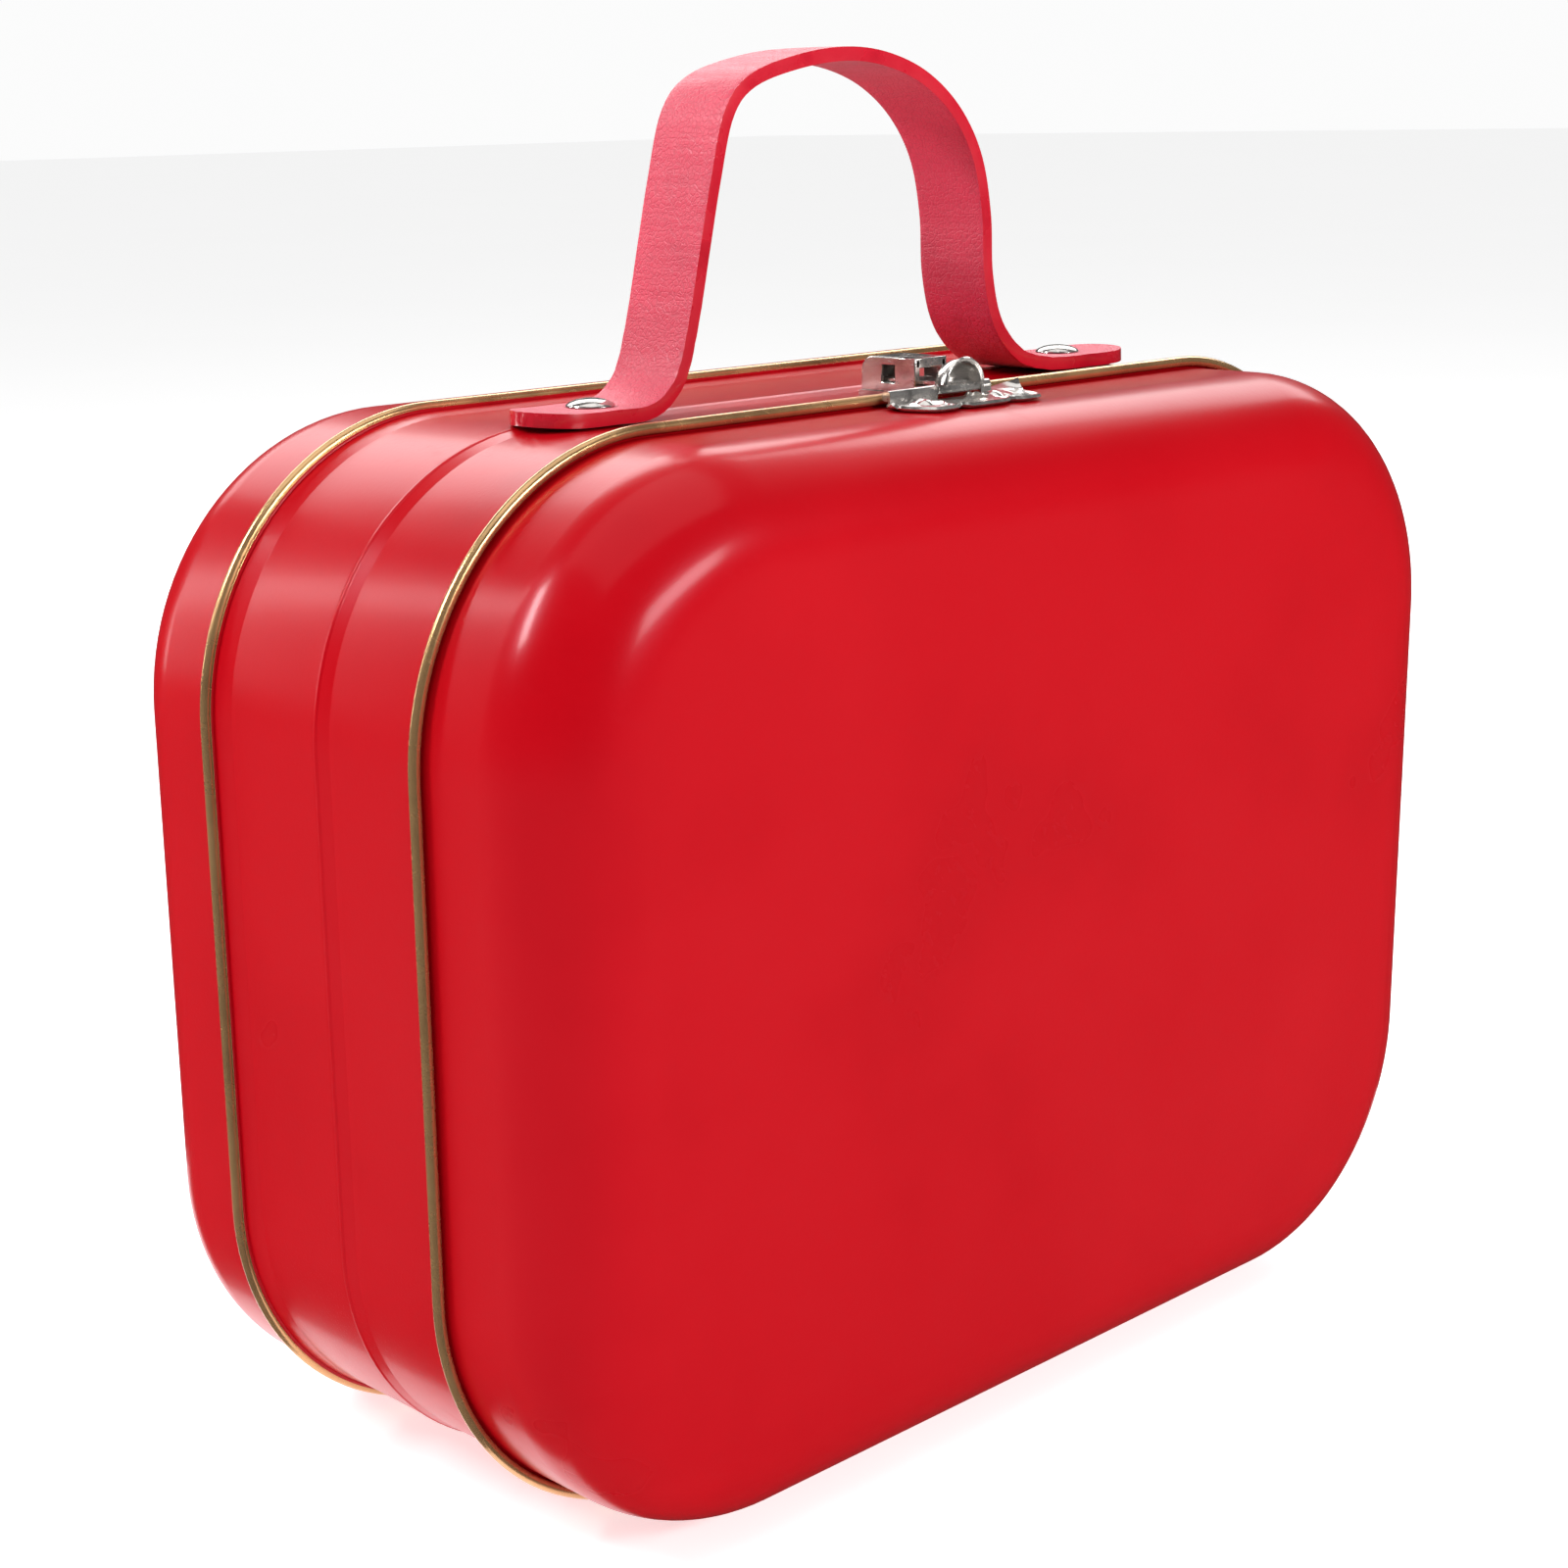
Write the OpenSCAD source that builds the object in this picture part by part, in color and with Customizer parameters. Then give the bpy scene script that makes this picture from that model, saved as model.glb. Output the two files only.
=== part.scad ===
// Tin suitcase lunch box: a pressed lid and back on a rolled band, with a strap handle and a snap clasp.
// The box stands on the rims of its long side. X runs along the width, Y from the lid (-Y) to the back,
// Z up. The origin is the middle of the footprint, on the surface that the box stands on.

/* [Case] */
// Width over the rims
case_w = 200; // [185:1:280]
// Height over the rims
case_h = 155; // [125:1:220]
// Radius of the case's corners, over the rims
corner_r = 42; // [34:1:52]
// Depth of the lid, from its face to the middle of its curl
lid_depth = 26; // [21:1:50]
// Distance between the curls of the lid and of the back
band_depth = 46.8; // [42:0.2:90]
// Depth of the back, from its face to the middle of its curl
back_depth = 21.5; // [16:0.5:40]
// Radius of the edge round the lid's face
lid_edge_r = 14.5; // [8:0.5:17]
// Radius of the edge round the back's face
back_edge_r = 10.4; // [6:0.2:13]
// Thickness of the tinplate
sheet_t = 0.35; // [0.3:0.05:0.4]

/* [Curls and walls] */
// Outside diameter of the rolled curls
curl_d = 1.6; // [1.5:0.1:2]
// Lid wall below the top of the curls
lid_wall_in = 1.95; // [1.9:0.05:2.2]
// Back wall below the top of the curls
back_wall_in = 1.4; // [1.3:0.05:1.8]
// Height of the step round the band
step_h = 0.4; // [0.3:0.05:0.5]
// Width of the slope of that step
step_w = 2.4; // [1.6:0.1:3]
// Distance of that step's middle from the lid's curl
step_from_lid = 21.2; // [20.6:0.1:22]
// Side clearance between the lid and the neck ring
lid_fit = 0.25; // [0.2:0.05:0.35]
// Length of the neck ring that enters the lid
neck_reach = 3; // [2.5:0.1:3.2]
// Length of the neck ring that lies inside the band
neck_seat = 6; // [5:0.5:8]

/* [Feet] */
// Length of each foot pad
foot_l = 20; // [14:1:22]
// Corner radius of a foot pad
foot_r = 4; // [2:0.5:6]
// Gap between the foot pads and the surface below
foot_gap = 0.7; // [0.5:0.1:1]

/* [Lid hinges] */
// Gap between each hinge and the foot pad beside it
hinge_gap = 2; // [1:0.5:4]
// Length of one hinge
hinge_l = 24; // [18:1:26]
// Diameter of a hinge knuckle
knuckle_d = 2; // [1.9:0.05:2.1]
// Diameter of a hinge pin
hinge_pin_d = 1.1; // [1:0.05:1.2]
// Radial clearance of the moving knuckle on its pin
hinge_fit = 0.05; // [0.03:0.01:0.08]
// Length of a hinge leaf from its knuckle
leaf_l = 7; // [6.5:0.5:8]

/* [Clasp] */
// Distance of the clasp from the middle, to the right
clasp_x = 1.5; // [-10:0.5:10]
// Width of the catch's channel
catch_w = 7; // [6.4:0.2:8]
// Length of the catch's channel
catch_l = 10.7; // [9.5:0.1:12]
// Height of the catch's channel
catch_h = 5; // [4.8:0.1:6]
// Thickness of the clasp's and catch's metal
clasp_t = 0.6; // [0.5:0.05:0.7]
// Width of the scroll plate on the lid
scroll_w = 27; // [25:1:34]
// Sideways offset of the scroll plate from the middle of the clasp
scroll_shift = -4; // [-4:0.5:0]
// Diameter of the clasp's knuckles
clasp_knuckle_d = 2; // [1.8:0.1:2.2]
// Diameter of the clasp's pin
clasp_pin_d = 1; // [0.9:0.05:1.1]
// Width of the thumb dome on the clasp's lever
dome_w = 8; // [7:0.5:9]

/* [Handle] */
// Distance between each handle rivet and the start of the corner beside it
rivet_inset = 7; // [6:0.5:16]
// Distance of the handle's middle from the case's middle, to the right
handle_x = 1; // [-5:0.5:5]
// Distance of the handle's middle line from the step, towards the lid
handle_y = 1; // [0:0.5:3]
// Width of the strap
strap_w = 13; // [10:0.5:16]
// Thickness of the strap
strap_t = 2; // [1.6:0.1:2.4]
// Height of the top of the strap above the band
handle_h = 50; // [40:1:70]
// Length of the strap past each rivet
strap_tail = 12.5; // [9:0.5:15]
// Diameter of the rivet heads
rivet_d = 7; // [6:0.5:8]

/* [Hidden] */
$fn = 64;

red = "firebrick";
gold = "darkgoldenrod";
nickel = "silver";

curl_r = curl_d / 2;
edge_gap = 0.05;
core_w = case_w / 2 - corner_r;
core_h = case_h / 2 - corner_r;
total_depth = lid_depth + band_depth + back_depth;
lid_curl_y = -total_depth / 2 + lid_depth;
back_curl_y = lid_curl_y + band_depth;
band_front_y = lid_curl_y + curl_r + edge_gap;
band_back_y = back_curl_y - curl_r + edge_gap;
step_y = lid_curl_y + step_from_lid;

// Depths of the walls below the outside of the curls
neck_in = lid_wall_in + sheet_t + lid_fit;
front_panel_in = neck_in - sheet_t;
rear_panel_in = front_panel_in - step_h;
front_lip_in = front_panel_in - 0.3;
rear_lip_in = rear_panel_in - 0.4;
front_lip_w = 1.1;
lip_slope_w = 0.6;
rear_taper_w = 4;
flange_in = 0.9;

band_top_z = case_h - front_panel_in;
rear_top_z = case_h - rear_panel_in;
lid_top_z = case_h - lid_wall_in;

// A strip of sheet round the case: the child profile has x = distance from a corner's centre
// line and y = depth in the case
module around() {
    translate([0, 0, case_h / 2]) rotate([-90, 0, 0])
        for (i = [0:3]) {
            a = i % 2 == 0 ? core_w : core_h;
            b = i % 2 == 0 ? core_h : core_w;
            rotate([0, 0, 90 * i]) translate([a, b, 0]) {
                rotate_extrude(angle = 90) children();
                rotate([90, 0, 0]) linear_extrude(2 * b) children();
            }
        }
}

// Half of a pan's section: a disc of radius r and depth d with a rounded edge at y = 0
module pan_half(r, edge_r, d) {
    translate([0, edge_r]) square([r, d - edge_r]);
    square([r - edge_r, edge_r]);
    translate([r - edge_r, edge_r]) circle(edge_r);
}

// Section of a pressed pan with its wall, flange and curl; y = 0 is its face
module pan_section(wall_in, edge_r, depth) {
    r = corner_r - wall_in;
    flange_y = depth + curl_r - edge_gap;
    intersection() {
        square([corner_r, depth + curl_r]);
        difference() {
            pan_half(r, edge_r, flange_y);
            translate([0, sheet_t]) pan_half(r - sheet_t, edge_r - sheet_t, depth + curl_d);
        }
    }
    translate([r - sheet_t / 2, flange_y - sheet_t])
        square([corner_r - curl_r - r + sheet_t / 2, sheet_t]);
    translate([corner_r - curl_r, depth]) difference() {
        circle(curl_r);
        circle(curl_r - sheet_t);
    }
}

module pan(wall_in, edge_r, depth, face_y) {
    translate([0, face_y, 0]) {
        around() pan_section(wall_in, edge_r, depth);
        translate([-core_w, 0, corner_r]) cube([2 * core_w, sheet_t, 2 * core_h]);
    }
}

// Outer line of the band's section, from the lid to the back, as [distance below the curls, y]
band_line = [
    [front_lip_in, band_front_y],
    [front_lip_in, band_front_y + front_lip_w],
    [front_panel_in, band_front_y + front_lip_w + lip_slope_w],
    [front_panel_in, step_y - step_w / 2],
    [rear_panel_in, step_y + step_w / 2],
    [rear_panel_in, band_back_y - rear_taper_w],
    [rear_lip_in, band_back_y - sheet_t],
    [flange_in, band_back_y - sheet_t],
    [flange_in, band_back_y]];

// Inner line, back to front; the front edge is hemmed down to the neck ring
band_inner = [
    [rear_lip_in + sheet_t, band_back_y],
    [rear_panel_in + sheet_t, band_back_y - rear_taper_w],
    [rear_panel_in + sheet_t, step_y + step_w / 2],
    [neck_in, step_y - step_w / 2],
    [neck_in, band_front_y]];

module band_section() {
    polygon([for (p = concat(band_line, band_inner)) [corner_r - p[0], p[1]]]);
}

// The two foot pads on one side, grown by d all round; d below zero gives the hollow inside
module foot_pads(d) {
    front_y = [band_front_y + front_lip_w + lip_slope_w, step_y - step_w / 2 - 0.5];
    rear_y = [step_y + step_w / 2 + 0.5, band_back_y - rear_taper_w];
    for (y = [front_y, rear_y])
        translate([core_w - foot_l / 2, (y[0] + y[1]) / 2, foot_gap - d])
            linear_extrude(neck_in - foot_gap + d)
                rounded_rect(foot_l + 2 * d, y[1] - y[0] + 2 * d, foot_r + d);
}

module rounded_rect(w, h, r) {
    square([w, h - 2 * r], center = true);
    square([w - 2 * r, h], center = true);
    for (x = [-1, 1], y = [-1, 1]) translate([x * (w / 2 - r), y * (h / 2 - r)]) circle(r);
}

module both_sides() {
    children();
    mirror([1, 0, 0]) children();
}

// ---- Hinges: knuckles sunk in notches of the rims, leaves riveted to the walls ----

hinge_x = core_w - foot_l - hinge_gap - hinge_l / 2;
axis_y = band_front_y - edge_gap / 2;
knuckle_r = knuckle_d / 2;
axis_z = front_panel_in - knuckle_r;
leaf_t = 0.45;
notch_gap = 0.3;
mid_knuckle_l = hinge_l / 2;
knuckle_gap = 0.2;
leaf_rivet_d = 1.6;
leaf_rivet_head_d = 2.8;
leaf_rivet_head_h = 0.6;
leaf_rivet_x = hinge_l / 2 - 4;
leaf_rivet_y = leaf_l - 2.2;
tail_h = 0.4;

module rod_x(d, l, y, z, x = 0) {
    translate([x - l / 2, y, z]) rotate([0, 90, 0]) cylinder(d = d, h = l);
}

module at_hinges() {
    for (x = [-hinge_x, hinge_x]) translate([x, 0, 0]) children();
}

// Room for one hinge's knuckles: past the rims from y0 to y1, up to z
module hinge_notch(y0, y1, z) {
    at_hinges() translate([-hinge_l / 2 - notch_gap, y0, -1])
        cube([hinge_l + 2 * notch_gap, y1 - y0, z + 1]);
}

// Holes or rivets for the leaves; side is 1 on the band and -1 on the lid
module at_leaf_rivets(side) {
    at_hinges() for (x = [-leaf_rivet_x, leaf_rivet_x])
        translate([x, axis_y + side * leaf_rivet_y, 0]) children();
}

module body_leaf() {
    difference() {
        union() {
            translate([-hinge_l / 2, axis_y, front_panel_in - leaf_t]) cube([hinge_l, leaf_l, leaf_t]);
            rod_x(knuckle_d, hinge_l, axis_y, axis_z);
        }
        rod_x(hinge_pin_d, hinge_l + 2, axis_y, axis_z);
        translate([-mid_knuckle_l / 2, axis_y - 2 * knuckle_r, -1])
            cube([mid_knuckle_l, 3 * knuckle_r + knuckle_gap, front_panel_in + 2]);
    }
}

module lid_leaf() {
    mid_l = mid_knuckle_l - 2 * knuckle_gap;
    side_gap = knuckle_r + knuckle_gap;
    difference() {
        union() {
            translate([-hinge_l / 2, axis_y - leaf_l, lid_wall_in - leaf_t])
                cube([hinge_l, leaf_l - side_gap, leaf_t]);
            translate([-mid_l / 2, axis_y - leaf_l, lid_wall_in - leaf_t]) cube([mid_l, leaf_l, leaf_t]);
            rod_x(knuckle_d, mid_l, axis_y, axis_z);
        }
        rod_x(hinge_pin_d + 2 * hinge_fit, hinge_l, axis_y, axis_z);
    }
}

module leaf_rivet(wall_z) {
    translate([0, 0, wall_z - leaf_t - leaf_rivet_head_h])
        cylinder(d = leaf_rivet_head_d, h = leaf_rivet_head_h);
    translate([0, 0, wall_z - leaf_t - leaf_rivet_head_h])
        cylinder(d = leaf_rivet_d, h = leaf_t + leaf_rivet_head_h + sheet_t + tail_h);
    translate([0, 0, wall_z + sheet_t]) cylinder(d = leaf_rivet_head_d, h = tail_h);
}

module body_hinge_leaves() {
    color(nickel) difference() {
        at_hinges() body_leaf();
        at_leaf_rivets(1) cylinder(d = leaf_rivet_d, h = 2 * neck_in, center = true);
    }
}

module lid_hinge_leaves() {
    color(nickel) difference() {
        at_hinges() lid_leaf();
        at_leaf_rivets(-1) cylinder(d = leaf_rivet_d, h = 2 * neck_in, center = true);
    }
}

module hinge_pins() {
    color(nickel) at_hinges() rod_x(hinge_pin_d, hinge_l, axis_y, axis_z);
}

module body_hinge_rivets() {
    color(nickel) at_leaf_rivets(1) leaf_rivet(front_panel_in);
}

module lid_hinge_rivets() {
    color(nickel) at_leaf_rivets(-1) leaf_rivet(lid_wall_in);
}

// ---- Shells ----

handle_line_y = step_y - handle_y;
half_span = core_w - rivet_inset;
handle_holes = [for (s = [-1, 1]) [handle_x + s * half_span, handle_line_y]];
shank_d = 3;
catch_front_y = band_front_y + 1.9;
catch_rivet_x = catch_w / 2 + 5;
catch_rivet_y = catch_front_y + 2.6;
small_rivet_d = 1.8;
scroll_rivet_x = 7.5;
scroll_rivet_y = lid_curl_y - 6.2;

module body_band() {
    color(red) difference() {
        union() {
            around() band_section();
            both_sides() foot_pads(0);
        }
        both_sides() intersection() {
            foot_pads(-sheet_t);
            translate([0, -total_depth, foot_gap + sheet_t]) cube([case_w, 2 * total_depth, case_h]);
        }
        hinge_notch(band_front_y - 1, band_front_y + front_lip_w + lip_slope_w, front_panel_in);
        at_leaf_rivets(1) cylinder(d = leaf_rivet_d, h = 2 * neck_in + 1, center = true);
        for (p = handle_holes) translate([p[0], p[1], case_h - 5]) cylinder(d = shank_d, h = 10);
        for (s = [-1, 1]) translate([clasp_x + s * catch_rivet_x, catch_rivet_y, case_h - 5])
            cylinder(d = small_rivet_d, h = 10);
    }
}

module neck_ring() {
    ring_y = lid_curl_y + curl_r - neck_reach;
    color(gold) difference() {
        around() translate([corner_r - neck_in - sheet_t, ring_y])
            square([sheet_t, neck_reach + neck_seat]);
        at_leaf_rivets(1) cylinder(d = leaf_rivet_d, h = 2 * neck_in + 1, center = true);
        at_leaf_rivets(1) translate([0, 0, neck_in - 0.1]) cylinder(d = leaf_rivet_head_d + 0.4, h = 2);
        for (s = [-1, 1]) translate([clasp_x + s * catch_rivet_x, catch_rivet_y, case_h - 5])
            cylinder(d = small_rivet_d + 1.6, h = 10);
    }
}

module back_pan() {
    color(red) mirror([0, 1, 0]) pan(back_wall_in, back_edge_r, back_depth, -total_depth / 2);
}

module lid_pan() {
    color(red) difference() {
        pan(lid_wall_in, lid_edge_r, lid_depth, -total_depth / 2);
        hinge_notch(axis_y - knuckle_r - notch_gap, axis_y + 1, neck_in);
        at_leaf_rivets(-1) cylinder(d = leaf_rivet_d, h = 2 * neck_in + 1, center = true);
        for (s = [-1, 1]) translate([scroll_x + s * scroll_rivet_x, scroll_rivet_y, case_h - 5])
            cylinder(d = small_rivet_d, h = 10);
    }
}

// ---- Catch on the band ----

catch_base_h = 0.5;
catch_boss_h = 0.7;
channel_z = band_top_z + catch_base_h + catch_boss_h;
lobe_l = 13.5;
lobe_w = 7;

// A leaf outline with its points on the X axis
module leaf_outline(l, w) {
    r = (l * l + w * w) / (4 * w);
    intersection_for(s = [-1, 1]) translate([0, s * (r - w / 2)]) circle(r);
}

module catch_base() {
    color(nickel) translate([clasp_x, 0, band_top_z]) difference() {
        union() {
            for (s = [-1, 1]) translate([s * catch_w / 2, catch_front_y + lobe_w / 2, 0])
                linear_extrude(catch_base_h) leaf_outline(2 * lobe_l, lobe_w);
            translate([-catch_w / 2 - 0.6, catch_front_y, 0])
                cube([catch_w + 1.2, catch_l, catch_base_h + catch_boss_h]);
        }
        for (s = [-1, 1]) translate([s * catch_rivet_x, catch_rivet_y, -1])
            cylinder(d = small_rivet_d, h = 3);
    }
}

// Side view of the channel, with its back corner rounded; x runs from front to back
module channel_side(inset) {
    r = 2.2 - inset;
    l = catch_l - inset;
    h = catch_h - inset;
    difference() {
        union() {
            square([l - r, h]);
            square([l, h - r]);
            translate([l - r, h - r]) circle(r);
        }
        if (inset > 0) translate([-1, -1]) square([l + 2, 1]);
    }
}

module channel_solid(inset, front) {
    w = catch_w - 2 * inset;
    translate([w / 2, 0, 0]) rotate([90, 0, -90]) linear_extrude(w) mirror([1, 0]) channel_side(inset);
    translate([-w / 2, -front, 0]) cube([w, front + 0.5, catch_h - inset]);
}

module catch_channel() {
    window = 2.6;
    color(nickel) translate([clasp_x, catch_front_y, channel_z]) difference() {
        channel_solid(0, 0);
        translate([0, 0, -0.01]) channel_solid(clasp_t, 1);
        translate([-catch_w, catch_l / 2 - window / 2, 1.3]) cube([2 * catch_w, window, window]);
    }
}

module small_rivet(head_d, head_h, z, hole_z) {
    head_r = (head_d * head_d / 4 + head_h * head_h) / (2 * head_h);
    translate([0, 0, z]) intersection() {
        translate([0, 0, head_h - head_r]) sphere(head_r);
        cylinder(d = head_d, h = head_h);
    }
    translate([0, 0, hole_z - tail_h]) cylinder(d = small_rivet_d, h = z - hole_z + tail_h + head_h / 2);
    translate([0, 0, hole_z - tail_h]) cylinder(d = small_rivet_d + 1, h = tail_h);
}

module catch_rivets() {
    color(nickel) for (s = [-1, 1]) translate([clasp_x + s * catch_rivet_x, catch_rivet_y, 0])
        small_rivet(3, 0.7, band_top_z + catch_base_h, band_top_z - sheet_t);
}

// ---- Clasp on the lid ----

scroll_t = 0.6;
scroll_d = 9.8;
scroll_x = clasp_x + scroll_shift;
clasp_gap = 0.25;
clasp_knuckle_r = clasp_knuckle_d / 2;
clasp_axis_y = lid_curl_y - curl_r - clasp_gap - clasp_knuckle_r;
clasp_axis_z = lid_top_z + scroll_t + knuckle_gap + clasp_knuckle_r;
lever_w = catch_w - 2 * clasp_t - 0.8;
lever_knuckle_l = dome_w + 1;
bar_l = scroll_w - 5;

module scroll_outline() {
    lobe_y = clasp_axis_y - scroll_d / 2;
    for (s = [-1, 1]) {
        translate([s * (scroll_w / 2 - 4.6), lobe_y - 0.6]) circle(4.6);
        translate([s * 4.4, lobe_y - 1.4]) circle(4.2);
    }
    translate([-bar_l / 2, lobe_y]) square([bar_l, scroll_d / 2 - 0.4]);
}

module scroll_plate() {
    color(nickel) difference() {
        union() {
            translate([scroll_x, 0, lid_top_z]) linear_extrude(scroll_t) scroll_outline();
            translate([scroll_x - bar_l / 2, clasp_axis_y - clasp_knuckle_r, lid_top_z])
                cube([bar_l, scroll_t, clasp_axis_z - lid_top_z]);
            rod_x(clasp_knuckle_d, bar_l, clasp_axis_y, clasp_axis_z, scroll_x);
        }
        rod_x(clasp_pin_d, scroll_w, clasp_axis_y, clasp_axis_z, scroll_x);
        translate([clasp_x - lever_knuckle_l / 2 - knuckle_gap, clasp_axis_y - 3, lid_top_z + scroll_t])
            cube([lever_knuckle_l + 2 * knuckle_gap, 6, 9]);
        for (s = [-1, 1]) translate([scroll_x + s * scroll_rivet_x, scroll_rivet_y, case_h - 5])
            cylinder(d = small_rivet_d, h = 6);
    }
}

module scroll_rivets() {
    color(nickel) for (s = [-1, 1]) translate([scroll_x + s * scroll_rivet_x, scroll_rivet_y, 0])
        small_rivet(3.2, 0.8, lid_top_z + scroll_t, lid_top_z - sheet_t);
}

module clasp_pin() {
    color(nickel) rod_x(clasp_pin_d, bar_l, clasp_axis_y, clasp_axis_z, scroll_x);
}

// Lever: a knuckle on the pin, a tongue that enters the channel, and a thumb dome
module clasp_lever() {
    tongue_y = catch_front_y + catch_l - clasp_t - 1.6;
    tongue_z = case_h + clasp_gap;
    dome_r = dome_w / 2;
    dome_l = 4.6;
    color(nickel) translate([clasp_x, 0, 0]) difference() {
        union() {
            rod_x(clasp_knuckle_d, lever_knuckle_l, clasp_axis_y, clasp_axis_z);
            translate([-lever_w / 2, clasp_axis_y, tongue_z])
                cube([lever_w, tongue_y - clasp_axis_y, clasp_t]);
            translate([0, clasp_axis_y - dome_l / 2 + 0.6, clasp_axis_z + 0.4]) rotate([-90, 0, 0])
                difference() {
                    cylinder(r = dome_r, h = dome_l);
                    translate([0, 0, -1]) cylinder(r = dome_r - clasp_t, h = dome_l + 2);
                    translate([-dome_w, 0, -1]) cube([2 * dome_w, dome_w, dome_l + 2]);
                }
        }
        rod_x(clasp_pin_d + 2 * hinge_fit, scroll_w, clasp_axis_y, clasp_axis_z);
    }
}

// ---- Handle ----

strap_foot_z = rear_top_z + strap_t / 2;

// Side view of the strap's middle line: points [x, height], the arch leaning a little to the left
function strap_knots() = let (s = half_span / 51, v = (handle_h - strap_t) / 48) [
    [-half_span - strap_tail, 0.35], [-half_span - strap_tail / 2, 0], [-half_span, 0],
    [-46.6 * s, 0], [-43 * s, 1.1 * v], [-39.5 * s, 4.6 * v], [-37 * s, 12 * v], [-34.6 * s, 22 * v],
    [-32.4 * s, 31 * v], [-29.6 * s, 40 * v], [-25 * s, 44.4 * v], [-16 * s, 46.9 * v], [-6 * s, 48 * v],
    [3 * s, 47.2 * v], [11.5 * s, 44.4 * v], [18.6 * s, 39.4 * v], [23.4 * s, 32.6 * v],
    [25.6 * s, 24 * v], [26.2 * s, 15 * v], [28.6 * s, 7.4 * v], [34 * s, 2.2 * v], [40.5 * s, 0.4 * v],
    [46.6 * s, 0], [half_span, 0], [half_span + strap_tail / 2, 0], [half_span + strap_tail, 0.35]];

// Smooth curve through the knots, with n steps from each knot to the next
function spline_point(a, b, c, d, t) =
    0.5 * (2 * b + (c - a) * t + (2 * a - 5 * b + 4 * c - d) * t * t + (3 * b - a - 3 * c + d) * t * t * t);
function spline(k, n) = let (m = len(k) - 1) [for (i = [0:m - 1], j = [0:n - 1])
    spline_point(k[max(i - 1, 0)], k[i], k[i + 1], k[min(i + 2, m)], j / n)];
function side_line(p, d) = [for (i = [0:len(p) - 1])
    let (t = p[min(i + 1, len(p) - 1)] - p[max(i - 1, 0)]) p[i] + d * [-t[1], t[0]] / norm(t)];
function reverse(p) = [for (i = [len(p) - 1:-1:0]) p[i]];

module handle_strap() {
    line = spline(strap_knots(), 3);
    foot_end = half_span + strap_tail;
    color("crimson") translate([handle_x, handle_line_y, strap_foot_z]) difference() {
        intersection() {
            rotate([90, 0, 0]) translate([0, 0, -strap_w / 2]) linear_extrude(strap_w)
                polygon(concat(side_line(line, strap_t / 2), reverse(side_line(line, -strap_t / 2))));
            translate([0, 0, -strap_t]) linear_extrude(handle_h + 2 * strap_t)
                rounded_rect(2 * foot_end, strap_w, strap_w / 2 - 0.5);
        }
        for (s = [-1, 1]) translate([s * half_span, 0, -strap_t]) cylinder(d = shank_d, h = 2 * strap_t);
    }
}

washer_t = 0.5;
washer_d = 8;
rivet_head_h = 1.2;

module handle_rivets() {
    head_r = (rivet_d * rivet_d / 4 + rivet_head_h * rivet_head_h) / (2 * rivet_head_h);
    under_z = rear_top_z - sheet_t - step_h - washer_t;
    color(nickel) for (p = handle_holes) translate([p[0], p[1], 0]) {
        translate([0, 0, rear_top_z + strap_t]) intersection() {
            translate([0, 0, rivet_head_h - head_r]) sphere(head_r);
            cylinder(d = rivet_d, h = rivet_head_h);
        }
        translate([0, 0, under_z - tail_h])
            cylinder(d = shank_d, h = rear_top_z + strap_t + rivet_head_h / 2 - under_z + tail_h);
        translate([0, 0, under_z - tail_h]) cylinder(d = shank_d + 1.6, h = tail_h);
    }
}

module handle_washers() {
    color(nickel) for (p = handle_holes)
        translate([p[0], p[1], rear_top_z - sheet_t - step_h - washer_t]) difference() {
            cylinder(d = washer_d, h = washer_t);
            translate([0, 0, -1]) cylinder(d = shank_d, h = washer_t + 2);
        }
}

body_band();
neck_ring();
back_pan();
lid_pan();
body_hinge_leaves();
lid_hinge_leaves();
hinge_pins();
body_hinge_rivets();
lid_hinge_rivets();
catch_base();
catch_channel();
catch_rivets();
scroll_plate();
scroll_rivets();
clasp_pin();
clasp_lever();
handle_strap();
handle_rivets();
handle_washers();
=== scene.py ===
import math

import bmesh
import bpy
from bpy.props import FloatProperty, FloatVectorProperty, PointerProperty
from mathutils import Matrix, Vector


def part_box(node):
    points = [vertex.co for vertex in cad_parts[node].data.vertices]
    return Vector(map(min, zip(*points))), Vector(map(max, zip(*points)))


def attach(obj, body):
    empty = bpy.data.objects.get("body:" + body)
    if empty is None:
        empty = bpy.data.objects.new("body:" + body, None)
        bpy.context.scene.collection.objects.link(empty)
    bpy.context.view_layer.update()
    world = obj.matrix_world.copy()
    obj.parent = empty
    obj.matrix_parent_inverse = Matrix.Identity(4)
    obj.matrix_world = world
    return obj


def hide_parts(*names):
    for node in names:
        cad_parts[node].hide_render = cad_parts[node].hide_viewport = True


bl_info = {
    "name": "Tin lunch box",
    "version": (1, 0, 0),
    "blender": (4, 5, 0),
    "location": "View3D > Sidebar > Tin box",
    "description": "Builds the finish of a red tin lunch box over its CAD frame",
    "category": "Object",
}

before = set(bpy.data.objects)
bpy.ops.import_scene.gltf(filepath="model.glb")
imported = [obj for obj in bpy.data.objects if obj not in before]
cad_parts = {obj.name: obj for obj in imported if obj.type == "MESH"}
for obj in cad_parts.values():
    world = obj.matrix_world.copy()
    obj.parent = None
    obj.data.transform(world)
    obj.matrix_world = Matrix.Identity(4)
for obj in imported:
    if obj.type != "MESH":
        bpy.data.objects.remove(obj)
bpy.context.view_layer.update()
MM = 0.001


def box_mm(node):
    """Lowest and highest corner of a CAD node, in millimetres."""
    low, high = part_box(node)
    return low / MM, high / MM


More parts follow.
